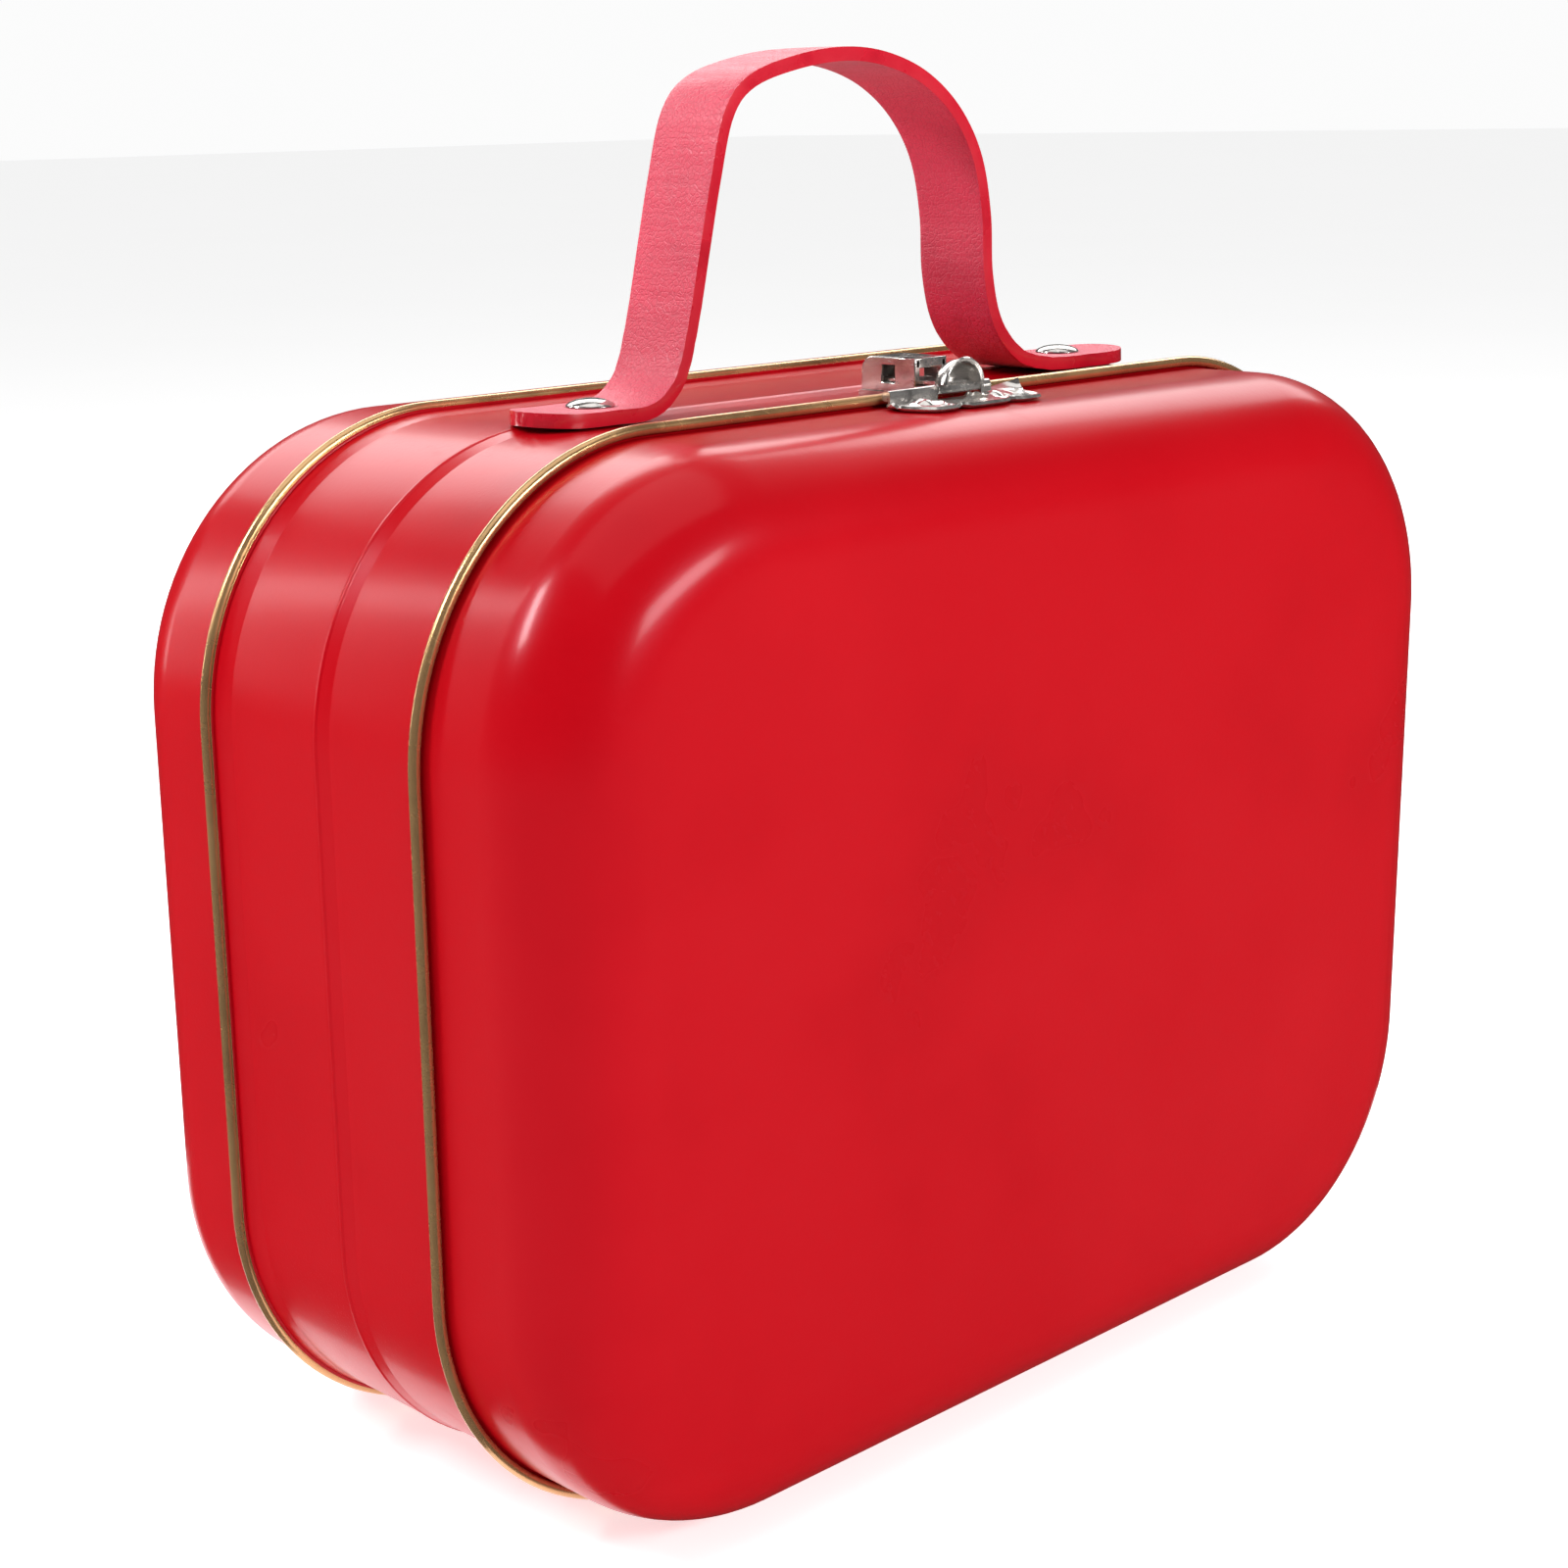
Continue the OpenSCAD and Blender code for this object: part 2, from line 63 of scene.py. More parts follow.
# The case, in millimetres: its corners turn round centres CORE_W and CORE_H from the middle
CORNER_R = 42.0
LID_LOW, LID_HIGH = box_mm("lid_pan")
BACK_LOW, BACK_HIGH = box_mm("back_pan")
BAND_LOW, BAND_HIGH = box_mm("body_band")
MID_Z = LID_HIGH.z / 2
CORE_W = LID_HIGH.x - CORNER_R
CORE_H = MID_Z - CORNER_R
CORNER_STEPS = 28
HINGE_X, HINGE_L = 24.0, 24.0
NOTCH_HALF = HINGE_L / 2 + 0.3
FOOT_L = 20.0
CLASP_X = 1.5
SCROLL_X = -2.5


# ---- Mesh helpers ----


def new_piece(name, bm, body, nodes, materials, sharp=32):
    """Makes a finished object from a bmesh in millimetres and puts it on its body."""
    bmesh.ops.scale(bm, vec=(MM, MM, MM), verts=bm.verts)
    mesh = bpy.data.meshes.new(name)
    limit = math.radians(sharp)
    for face in bm.faces:
        face.smooth = True
    for edge in bm.edges:
        if len(edge.link_faces) == 2 and edge.calc_face_angle(0) > limit:
            edge.smooth = False
    bm.to_mesh(mesh)
    bm.free()
    for material in materials:
        mesh.materials.append(material)
    piece = bpy.data.objects.new(name, mesh)
    bpy.context.scene.collection.objects.link(piece)
    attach(piece, body)
    if nodes:
        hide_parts(*nodes)
    return piece


def add_modifier(piece, kind, **values):
    modifier = piece.modifiers.new(kind.title(), kind)
    for key, value in values.items():
        setattr(modifier, key, value)
    return modifier


def sheet_metal(piece, thickness):
    """Gives an open skin its thickness inwards; the inner side takes the next material."""
    add_modifier(
        piece, "SOLIDIFY", thickness=thickness * MM, offset=-1, use_even_offset=True,
        use_quality_normals=True, material_offset=1, material_offset_rim=1,
    )


def round_edges(piece, width, segments=2, angle=32):
    add_modifier(
        piece, "BEVEL", width=width * MM, segments=segments, limit_method="ANGLE",
        angle_limit=math.radians(angle), use_clamp_overlap=True, harden_normals=False,
    )


def spin(bm, geom, centre, axis, degrees, steps, shift=(0, 0, 0)):
    """Spins edges or points about an axis, or shifts them in steps, and returns the last ring."""
    done = bmesh.ops.spin(
        bm, geom=geom, cent=centre, axis=axis, dvec=shift, angle=math.radians(degrees),
        steps=steps, use_merge=False, use_duplicate=False,
    )
    return done["geom_last"]


def start_profile(bm, out, y):
    """First point of a section: out from the corner centre line, y along the depth."""
    return bm.verts.new((CORE_W + out, y, MID_Z + CORE_H))


def line_to(bm, vert, out, y, steps=1):
    """Draws the section on in a straight line and returns the new end point."""
    goal = Vector((CORE_W + out, y, vert.co.z))
    return spin(bm, [vert], vert.co, (0, 0, 1), 0, steps, (goal - vert.co) / steps)[0]


def flat_to(bm, vert, out, y, guard=0.25):
    """Draws a flat on with a point close to each end, so that its shading stays flat."""
    start = vert.co.copy()
    goal = Vector((CORE_W + out, y, start.z))
    near = guard / (goal - start).length
    for part in (near, 1 - near, 1):
        spot = start.lerp(goal, part)
        vert = line_to(bm, vert, spot.x - CORE_W, spot.y)
    return vert


def arc_to(bm, vert, out, y, degrees, steps):
    """Draws the section on round a centre and returns the new end point."""
    return spin(bm, [vert], (CORE_W + out, y, vert.co.z), (0, 0, 1), degrees, steps)[0]


def sweep_round_case(bm, corner_steps=CORNER_STEPS, straight_steps=6):
    """Carries the drawn section once round the case."""
    ring = list(bm.verts) + list(bm.edges)
    x, z, steps = CORE_W, CORE_H, straight_steps
    for sx, sz, dx, dz in ((1, 1, -1, 0), (-1, 1, 0, -1), (-1, -1, 1, 0), (1, -1, 0, 1)):
        ring = spin(bm, ring, (sx * x, 0, MID_Z + sz * z), (0, -1, 0), 90, corner_steps)
        shift = (dx * 2 * x / steps, 0, dz * 2 * z / steps)
        ring = spin(bm, ring, (0, 0, 0), (0, 1, 0), 0, steps, shift)
    bmesh.ops.remove_doubles(bm, verts=bm.verts, dist=0.002)


def face_out(bm, towards):
    """Turns all faces one way: the outermost one that lies square to towards looks that way."""
    bmesh.ops.recalc_face_normals(bm, faces=bm.faces)
    towards = Vector(towards)
    square = [f for f in bm.faces if abs(f.normal.dot(towards)) > 0.9]
    outer = max(square, key=lambda f: f.calc_center_median().dot(towards))
    if outer.normal.dot(towards) < 0:
        bmesh.ops.reverse_faces(bm, faces=bm.faces)


def cut(bm, point, normal, where=lambda face: True):
    """Cuts the chosen faces along a plane."""
    faces = [f for f in bm.faces if where(f.calc_center_median())]
    edges = list({e for f in faces for e in f.edges})
    verts = list({v for f in faces for v in f.verts})
    bmesh.ops.bisect_plane(
        bm, geom=faces + edges + verts, plane_co=point, plane_no=normal, dist=0.001
    )


def cut_hinge_notches(bm, near, gone):
    """Cuts a notch for each hinge; near picks the faces to cut, and gone the places to empty."""
    for x in (-HINGE_X, HINGE_X):
        for side in (-1, 1):
            cut(bm, (x + side * NOTCH_HALF, 0, 0), (1, 0, 0), near)
    middles = {f: f.calc_center_median() for f in bm.faces}
    lost = [f for f, p in middles.items() if gone(p) and abs(abs(p.x) - HINGE_X) < NOTCH_HALF]
    bmesh.ops.delete(bm, geom=lost, context="FACES")


# ---- Shader helpers ----


def put(tree, kind, props=None, **inputs):
    """Adds a shader node, sets its properties, and sets or links its inputs."""
    made = tree.nodes.new("ShaderNode" + kind)
    for key, value in (props or {}).items():
        setattr(made, key, value)
    for key, value in inputs.items():
        plug(tree, made.inputs[key.replace("_", " ")], value)
    return made


def plug(tree, socket, value):
    if isinstance(value, bpy.types.NodeSocket):
        tree.links.new(value, socket)
    else:
        socket.default_value = value


def mix_colour(tree, factor, a, b):
    made = put(tree, "Mix", {"data_type": "RGBA"})
    for index, value in ((0, factor), (6, a), (7, b)):
        plug(tree, made.inputs[index], value)
    return made.outputs[2]


def scale_range(tree, value, low, high, to_low=0.0, to_high=1.0):
    made = put(
        tree, "MapRange", {"interpolation_type": "SMOOTHSTEP"},
        Value=value, From_Min=low, From_Max=high, To_Min=to_low, To_Max=to_high,
    )
    return made.outputs[0]


def maths(tree, operation, a, b=0.0):
    made = put(tree, "Math", {"operation": operation})
    plug(tree, made.inputs[0], a)
    plug(tree, made.inputs[1], b)
    return made.outputs[0]


def new_group(name, inputs, outputs):
    """An effect group whose inputs are (name, kind, default); every group also takes a Vector."""
    tree = bpy.data.node_groups.new(name, "ShaderNodeTree")
    tree.interface.new_socket("Vector", in_out="INPUT", socket_type="NodeSocketVector")
    for label, kind, default in inputs:
        socket = tree.interface.new_socket(label, in_out="INPUT", socket_type="NodeSocket" + kind)
        socket.default_value = default
    for label, kind in outputs:
        tree.interface.new_socket(label, in_out="OUTPUT", socket_type="NodeSocket" + kind)
    entry = tree.nodes.new("NodeGroupInput")
    end = tree.nodes.new("NodeGroupOutput")
    return tree, entry.outputs, end.inputs


def use_group(tree, group, **inputs):
    made = tree.nodes.new("ShaderNodeGroup")
    made.node_tree = group
    for key, value in inputs.items():
        plug(tree, made.inputs[key.replace("_", " ")], value)
    return made.outputs


def orange_peel_group():
    """Fine ripple of a sprayed and baked enamel, with wider hand marks under it."""
    tree, given, result = new_group(
        "Orange peel",
        [("Size", "Float", 900.0), ("Wave", "Float", 60.0), ("Pimples", "Float", 0.0)],
        [("Height", "Float")],
    )
    fine = put(tree, "TexNoise", Vector=given["Vector"], Scale=given["Size"], Detail=2.0,
               Roughness=0.5)
    wide = put(tree, "TexNoise", Vector=given["Vector"], Scale=given["Wave"], Detail=1.0)
    beads = put(tree, "TexVoronoi", Vector=given["Vector"],
                Scale=maths(tree, "MULTIPLY", given["Size"], 1.4))
    patch = put(tree, "TexNoise", Vector=given["Vector"], Scale=26.0, Detail=2.0)
    pimple = maths(tree, "MULTIPLY", scale_range(tree, beads.outputs["Distance"], 0.35, 0.1),
                   scale_range(tree, patch.outputs[0], 0.52, 0.66))
    grain = maths(tree, "ADD", maths(tree, "MULTIPLY", fine.outputs[0], 0.35),
                  maths(tree, "MULTIPLY", pimple, given["Pimples"]))
    tree.links.new(maths(tree, "ADD", grain, wide.outputs[0]), result["Height"])
    return tree


def blotch_group():
    """Slow change of a colour towards a deeper and a paler one."""
    tree, given, result = new_group(
        "Colour drift",
        [("Colour", "Color", (1, 1, 1, 1)), ("Deep", "Color", (0, 0, 0, 1)),
         ("Pale", "Color", (1, 1, 1, 1)), ("Size", "Float", 20.0), ("Amount", "Float", 0.5)],
        [("Colour", "Color"), ("Mask", "Float")],
    )
    drift = put(tree, "TexNoise", Vector=given["Vector"], Scale=given["Size"], Detail=4.0,
                Roughness=0.6)
    down = maths(tree, "MULTIPLY", scale_range(tree, drift.outputs[0], 0.5, 0.3), given["Amount"])
    up = maths(tree, "MULTIPLY", scale_range(tree, drift.outputs[0], 0.5, 0.72), given["Amount"])
    colour = mix_colour(tree, down, given["Colour"], given["Deep"])
    tree.links.new(mix_colour(tree, up, colour, given["Pale"]), result["Colour"])
    tree.links.new(drift.outputs[0], result["Mask"])
    return tree


def speck_group():
    """Sparse dust specks and pinholes."""
    tree, given, result = new_group(
        "Specks", [("Size", "Float", 300.0), ("Radius", "Float", 0.12)], [("Mask", "Float")]
    )
    cells = put(tree, "TexVoronoi", Vector=given["Vector"], Scale=given["Size"], Randomness=1.0)
    gate = put(tree, "TexNoise", Vector=given["Vector"], Scale=90.0, Detail=1.0)
    dot = maths(tree, "LESS_THAN", cells.outputs["Distance"], given["Radius"])
    tree.links.new(
        maths(tree, "MULTIPLY", dot, scale_range(tree, gate.outputs[0], 0.6, 0.64)), result["Mask"]
    )
    return tree


def scratch_group():
    """Hairline scuffs that run in two directions."""
    tree, given, result = new_group(
        "Hairlines", [("Size", "Float", 400.0), ("Amount", "Float", 0.5)], [("Mask", "Float")]
    )
    total = None
    for turn, stretch in (((0.4, 0.2, 0.7), (1, 30, 1)), ((1.1, 0.5, -0.6), (30, 1, 1))):
        mapped = put(tree, "Mapping", {"vector_type": "TEXTURE"}, Vector=given["Vector"],
                     Rotation=turn, Scale=stretch)
        lines = put(tree, "TexNoise", Vector=mapped.outputs[0], Scale=given["Size"], Detail=3.0)
        mask = scale_range(tree, lines.outputs[0], 0.62, 0.7)
        total = mask if total is None else maths(tree, "MAXIMUM", total, mask)
    tree.links.new(maths(tree, "MULTIPLY", total, given["Amount"]), result["Mask"])
    return tree


def leather_group():
    """Pebbled grain with fine pores, and creases across the strap."""
    tree, given, result = new_group(
        "Leather grain", [("Size", "Float", 1.0), ("Creases", "Float", 0.5)],
        [("Height", "Float"), ("Pores", "Float")],
    )
    warp = put(tree, "TexNoise", Vector=given["Vector"],
               Scale=maths(tree, "MULTIPLY", given["Size"], 3.0))
    bent = put(tree, "Mix", {"data_type": "VECTOR"})
    plug(tree, bent.inputs[0], 0.03)
    plug(tree, bent.inputs[4], given["Vector"])
    plug(tree, bent.inputs[5], warp.outputs["Color"])
    cells = put(tree, "TexVoronoi", {"feature": "DISTANCE_TO_EDGE"}, Vector=bent.outputs[1],
                Scale=maths(tree, "MULTIPLY", given["Size"], 14.0))
    pebble = scale_range(tree, cells.outputs["Distance"], 0.0, 0.16)
    tall = put(tree, "Mapping", Vector=bent.outputs[1], Scale=(3.2, 0.35, 1))
    fold = put(tree, "TexNoise", Vector=tall.outputs[0],
               Scale=maths(tree, "MULTIPLY", given["Size"], 1.6), Detail=5.0, Roughness=0.6)
    folds = maths(tree, "MULTIPLY", scale_range(tree, fold.outputs[0], 0.35, 0.6), given["Creases"])
    low_pebble = maths(tree, "MULTIPLY", pebble, 0.35)
    tree.links.new(maths(tree, "ADD", low_pebble, folds), result["Height"])
    tree.links.new(pebble, result["Pores"])
    return tree


EFFECTS = {}


def effect(name):
    makers = {
        "peel": orange_peel_group, "drift": blotch_group, "specks": speck_group,
        "hairlines": scratch_group, "leather": leather_group,
    }
    if name not in EFFECTS:
        EFFECTS[name] = makers[name]()
    return EFFECTS[name]


def new_material(name, **constants):
    """A material with its shader's plain values set, and the object's own coordinates."""
    found = bpy.data.materials.get(name)
    if found:
        return found, None, None, None
    material = bpy.data.materials.new(name)
    material.use_nodes = True
    tree = material.node_tree
    shader = tree.nodes["Principled BSDF"]
    for key, value in constants.items():
        shader.inputs[key.replace("_", " ")].default_value = value
    place = put(tree, "TexCoord").outputs["Object"]
    return material, tree, shader, place


def add_bump(tree, shader, height, strength, distance):
    bump = put(tree, "Bump", Strength=strength, Distance=distance, Height=height)
    tree.links.new(bump.outputs[0], shader.inputs["Normal"])


def shade(colour, factor):
    return (*(min(1.0, c * factor) for c in colour[:3]), 1.0)


def colour_drift(tree, place, colour, deep, pale, size, amount):
    """Lets a colour drift to its darker and paler shades; gives the colour and the noise."""
    return use_group(
        tree, effect("drift"), Vector=place, Colour=(*colour, 1), Deep=shade(colour, deep),
        Pale=shade(colour, pale), Size=size, Amount=amount,
    )


def follow(tree, noise, low, high):
    """A value that goes from low to high with the noise of the colour drift."""
    return scale_range(tree, noise, 0.3, 0.7, low, high)


def red_enamel(name="Red enamel", pimples=0.0):
    """Satin baked enamel with a soft clear coat."""
    colour = bpy.context.scene.tin_box.enamel_red
    material, tree, shader, place = new_material(
        name, Specular_IOR_Level=0.1, Specular_Tint=(1, 0.55, 0.78, 1), Coat_Roughness=0.16,
        Coat_IOR=1.4
    )
    if tree:
        drift = colour_drift(tree, place, colour, 0.86, 1.1, 14.0, 0.55)
        scuffs = use_group(tree, effect("hairlines"), Vector=place, Size=520.0, Amount=0.35)
        tree.links.new(drift[0], shader.inputs["Base Color"])
        rough = follow(tree, drift[1], 0.27, 0.34)
        tree.links.new(maths(tree, "ADD", rough, maths(tree, "MULTIPLY", scuffs[0], 0.08)),
                       shader.inputs["Roughness"])
        coat = follow(tree, drift[1], 0.22, 0.3)
        tree.links.new(maths(tree, "SUBTRACT", coat, maths(tree, "MULTIPLY", scuffs[0], 0.06)),
                       shader.inputs["Coat Weight"])
        peel = use_group(tree, effect("peel"), Vector=place, Size=1500.0, Wave=55.0,
                         Pimples=pimples)
        add_bump(tree, shader, peel[0], 0.22, 0.00012)
    return material


def grainy_enamel():
    """The same enamel where it was sprayed too dry: patches of small pimples."""
    return red_enamel("Grainy red enamel", 0.7)


def gold_lacquer():
    """Brownish gold lacquer on tinplate, as on the curls and inside."""
    colour = bpy.context.scene.tin_box.lacquer_gold
    material, tree, shader, place = new_material("Gold lacquer", Metallic=0.75, Coat_Weight=0.25,
                                                 Coat_Roughness=0.2)
    if tree:
        drift = colour_drift(tree, place, colour, 0.55, 1.3, 60.0, 0.45)
        specks = use_group(tree, effect("specks"), Vector=place, Size=700.0, Radius=0.16)
        tree.links.new(mix_colour(tree, maths(tree, "MULTIPLY", specks[0], 0.35), drift[0],
                                  shade(colour, 0.35)), shader.inputs["Base Color"])
        scuffs = use_group(tree, effect("hairlines"), Vector=place, Size=700.0, Amount=0.6)
        rough = follow(tree, drift[1], 0.2, 0.32)
        tree.links.new(maths(tree, "ADD", rough, maths(tree, "MULTIPLY", scuffs[0], 0.12)),
                       shader.inputs["Roughness"])
        peel = use_group(tree, effect("peel"), Vector=place, Size=900.0, Wave=90.0)
        add_bump(tree, shader, peel[0], 0.2, 0.0001)
    return material


def plated_metal(name, colour, rough_low, rough_high, size):
    """Nickel plate: bright, with tarnish, pits and hairlines."""
    material, tree, shader, place = new_material(name, Metallic=0.85)
    if tree:
        drift = colour_drift(tree, place, colour, 0.5, 1.1, size, 0.8)
        specks = use_group(tree, effect("specks"), Vector=place, Size=900.0, Radius=0.2)
        tree.links.new(mix_colour(tree, maths(tree, "MULTIPLY", specks[0], 0.7), drift[0],
                                  shade(colour, 0.25)), shader.inputs["Base Color"])
        scuffs = use_group(tree, effect("hairlines"), Vector=place, Size=900.0, Amount=0.7)
        rough = follow(tree, drift[1], rough_low, rough_high)
        tree.links.new(maths(tree, "ADD", rough, maths(tree, "MULTIPLY", scuffs[0], 0.1)),
                       shader.inputs["Roughness"])
        peel = use_group(tree, effect("peel"), Vector=place, Size=1600.0, Wave=240.0)
        add_bump(tree, shader, peel[0], 0.15, 0.0001)
    return material


def nickel():
    return plated_metal("Nickel plate", bpy.context.scene.tin_box.nickel, 0.12, 0.26, 260.0)


def hinge_steel():
    colour = shade(bpy.context.scene.tin_box.nickel, 0.75)[:3]
    return plated_metal("Hinge steel", colour, 0.28, 0.42, 180.0)


def strap_leather():
    """Pebbled red leather; the grain follows the strap through its own map."""
    colour = bpy.context.scene.tin_box.leather_red
    material, tree, shader, place = new_material(
        "Strap leather", Specular_IOR_Level=0.6, Sheen_Weight=0.1, Sheen_Roughness=0.4
    )
    if tree:
        along = put(tree, "UVMap", {"uv_map": "along_strap"}).outputs[0]
        grain = use_group(tree, effect("leather"), Vector=along, Size=1.0, Creases=0.4)
        drift = colour_drift(tree, place, colour, 0.74, 1.18, 55.0, 0.6)
        tinted = mix_colour(tree, scale_range(tree, grain[1], 0.0, 0.5, 0.35, 0.0), drift[0],
                            shade(colour, 0.6))
        tree.links.new(tinted, shader.inputs["Base Color"])
        rough = scale_range(tree, grain[0], 0.0, 1.0, 0.52, 0.38)
        tree.links.new(rough, shader.inputs["Roughness"])
        add_bump(tree, shader, grain[0], 0.5, 0.00022)
    return material


def edge_paint():
    """Glossy painted edge of the strap."""
    colour = bpy.context.scene.tin_box.edge_red
    material, tree, shader, place = new_material("Strap edge paint", Coat_Roughness=0.12)
    if tree:
        drift = colour_drift(tree, place, colour, 0.7, 1.2, 90.0, 0.6)
        tree.links.new(drift[0], shader.inputs["Base Color"])
        tree.links.new(follow(tree, drift[1], 0.22, 0.36), shader.inputs["Roughness"])
        tree.links.new(follow(tree, drift[1], 0.35, 0.5), shader.inputs["Coat Weight"])
        peel = use_group(tree, effect("peel"), Vector=place, Size=1200.0, Wave=160.0)
        add_bump(tree, shader, peel[0], 0.25, 0.00015)
    return material


# ---- Settings ----


class TinBoxSettings(bpy.types.PropertyGroup):
    """Sizes and colours of the tin box."""

    sheet: FloatProperty(name="Tinplate", description="Thickness of the tinplate in millimetres",
                         default=0.35, min=0.2, max=0.5)
    curl_radius: FloatProperty(name="Curl radius",
                               description="Outer radius of the curls in millimetres",
                               default=0.8, min=0.5, max=1.0)
    strap_width: FloatProperty(name="Strap width", description="Width of the strap in millimetres",
                               default=13.0, min=8.0, max=14.0)
    strap_thickness: FloatProperty(name="Strap thickness",
                                   description="Thickness of the strap in millimetres",
                                   default=2.0, min=1.0, max=2.4)
    enamel_red: FloatVectorProperty(name="Enamel", description="Colour of the enamel",
                                    subtype="COLOR", default=(0.41, 0.0011, 0.0052), min=0, max=1)
    lacquer_gold: FloatVectorProperty(name="Lacquer", description="Colour of the gold lacquer",
                                      subtype="COLOR", default=(0.6, 0.36, 0.16), min=0, max=1)
    nickel: FloatVectorProperty(name="Nickel", description="Colour of the nickel plate",
                                subtype="COLOR", default=(0.66, 0.63, 0.6), min=0, max=1)
    leather_red: FloatVectorProperty(name="Leather", description="Colour of the strap",
                                     subtype="COLOR", default=(0.57, 0.02, 0.062), min=0, max=1)
    edge_red: FloatVectorProperty(name="Strap edge",
                                  description="Colour of the strap's painted edge",
                                  subtype="COLOR", default=(0.5, 0.003, 0.018), min=0, max=1)


# ---- Tin shells ----

# Each pan's wall, out from the corners' centres, the radius round its face and its curl's degrees
LID_WALL, LID_EDGE_R, LID_ROLL = 40.05, 14.5, 262
BACK_WALL, BACK_EDGE_R, BACK_ROLL = 40.6, 10.4, 226
WALL_FILLET = 0.5
FOOT_PADS_Y = ((-18.6, -1.65), (1.75, 20.9))
FOOT_PADS_Z = 2.3


def pan_mesh(wall, edge_r, face_y, curl_y, roll, sheet, curl_r):
    """Skin of a pressed pan from the middle of its face to the end of its rolled curl.
    It is drawn with the face at negative y; curl_y is the middle of the curl."""
    bm = bmesh.new()
    tip = start_profile(bm, wall - edge_r, face_y)
    tip = arc_to(bm, tip, wall - edge_r, face_y + edge_r, 90, 18)
    flange_y = curl_y + curl_r - sheet
    tip = flat_to(bm, tip, wall, flange_y - WALL_FILLET)
    tip = arc_to(bm, tip, wall + WALL_FILLET, flange_y - WALL_FILLET, -90, 3)
    tip = line_to(bm, tip, CORNER_R - curl_r, flange_y)
    arc_to(bm, tip, CORNER_R - curl_r, curl_y, -roll, 14)
    sweep_round_case(bm)
    rim = [e for e in bm.edges if e.is_boundary and abs(e.verts[0].co.y - face_y) < 0.01]
    face = bmesh.ops.contextual_create(bm, geom=rim)["faces"]
    for width in (0.7, 3.0):
        bmesh.ops.inset_region(bm, faces=face, thickness=width)
    return bm


class TINBOX_OT_lid(bpy.types.Operator):
    """Pressed lid with a rounded face edge, a rolled gold curl and notches for the hinges"""

    bl_idname = "tin_box.lid"
    bl_label = "Lid"

    def execute(self, context):
        tin = context.scene.tin_box
        curl_y = LID_HIGH.y - tin.curl_radius
        bm = pan_mesh(LID_WALL, LID_EDGE_R, LID_LOW.y, curl_y, LID_ROLL, tin.sheet,
                      tin.curl_radius)
        cut_hinge_notches(bm, lambda p: p.z < 3 and p.y > curl_y - 1.4,
                          lambda p: p.z < 2.05 and p.y > curl_y - 0.85)
        face_out(bm, (0, -1, 0))
        piece = new_piece("lid_shell", bm, "lid", ["lid_pan"],
                          [red_enamel(), gold_lacquer()], 60)
        sheet_metal(piece, tin.sheet)
        return {"FINISHED"}


class TINBOX_OT_back(bpy.types.Operator):
    """Pressed back with its rounded face edge and rolled gold curl"""

    bl_idname = "tin_box.back"
    bl_label = "Back"

    def execute(self, context):
        tin = context.scene.tin_box
        curl_y = -(BACK_LOW.y + tin.curl_radius)
        bm = pan_mesh(BACK_WALL, BACK_EDGE_R, -BACK_HIGH.y, curl_y, BACK_ROLL, tin.sheet,
                      tin.curl_radius)
        bmesh.ops.transform(bm, matrix=Matrix.Scale(-1, 4, (0, 1, 0)), verts=bm.verts)
        face_out(bm, (0, 1, 0))
        piece = new_piece("back_shell", bm, "body", ["back_pan"],
                          [grainy_enamel(), gold_lacquer()], 60)
        sheet_metal(piece, tin.sheet)
        return {"FINISHED"}


def press_foot_pads(bm):
    """Adds four shallow pressed pads under the band, with round corners and sloping sides."""
    for side in (-1, 1):
        for front, back in FOOT_PADS_Y:
            size = (FOOT_L, back - front, 1)
            made = bmesh.ops.create_grid(bm, x_segments=1, y_segments=1, size=0.5)["verts"]
            bmesh.ops.scale(bm, vec=size, verts=made)
            place = (side * (CORE_W - FOOT_L / 2), (front + back) / 2, FOOT_PADS_Z)
            bmesh.ops.translate(bm, vec=place, verts=made)
            pad = bmesh.ops.bevel(
                bm, geom=made, offset=4, offset_type="OFFSET", segments=6, profile=0.5,
                affect="VERTICES", material=-1,
            )["verts"][0].link_faces[0]
            if pad.normal.z > 0:
                pad.normal_flip()
            for inward, down in ((0.15, 1.0), (0.5, 0.45), (0.8, 0.15), (1.0, 0)):
                bmesh.ops.inset_region(bm, faces=[pad], thickness=inward, depth=down)


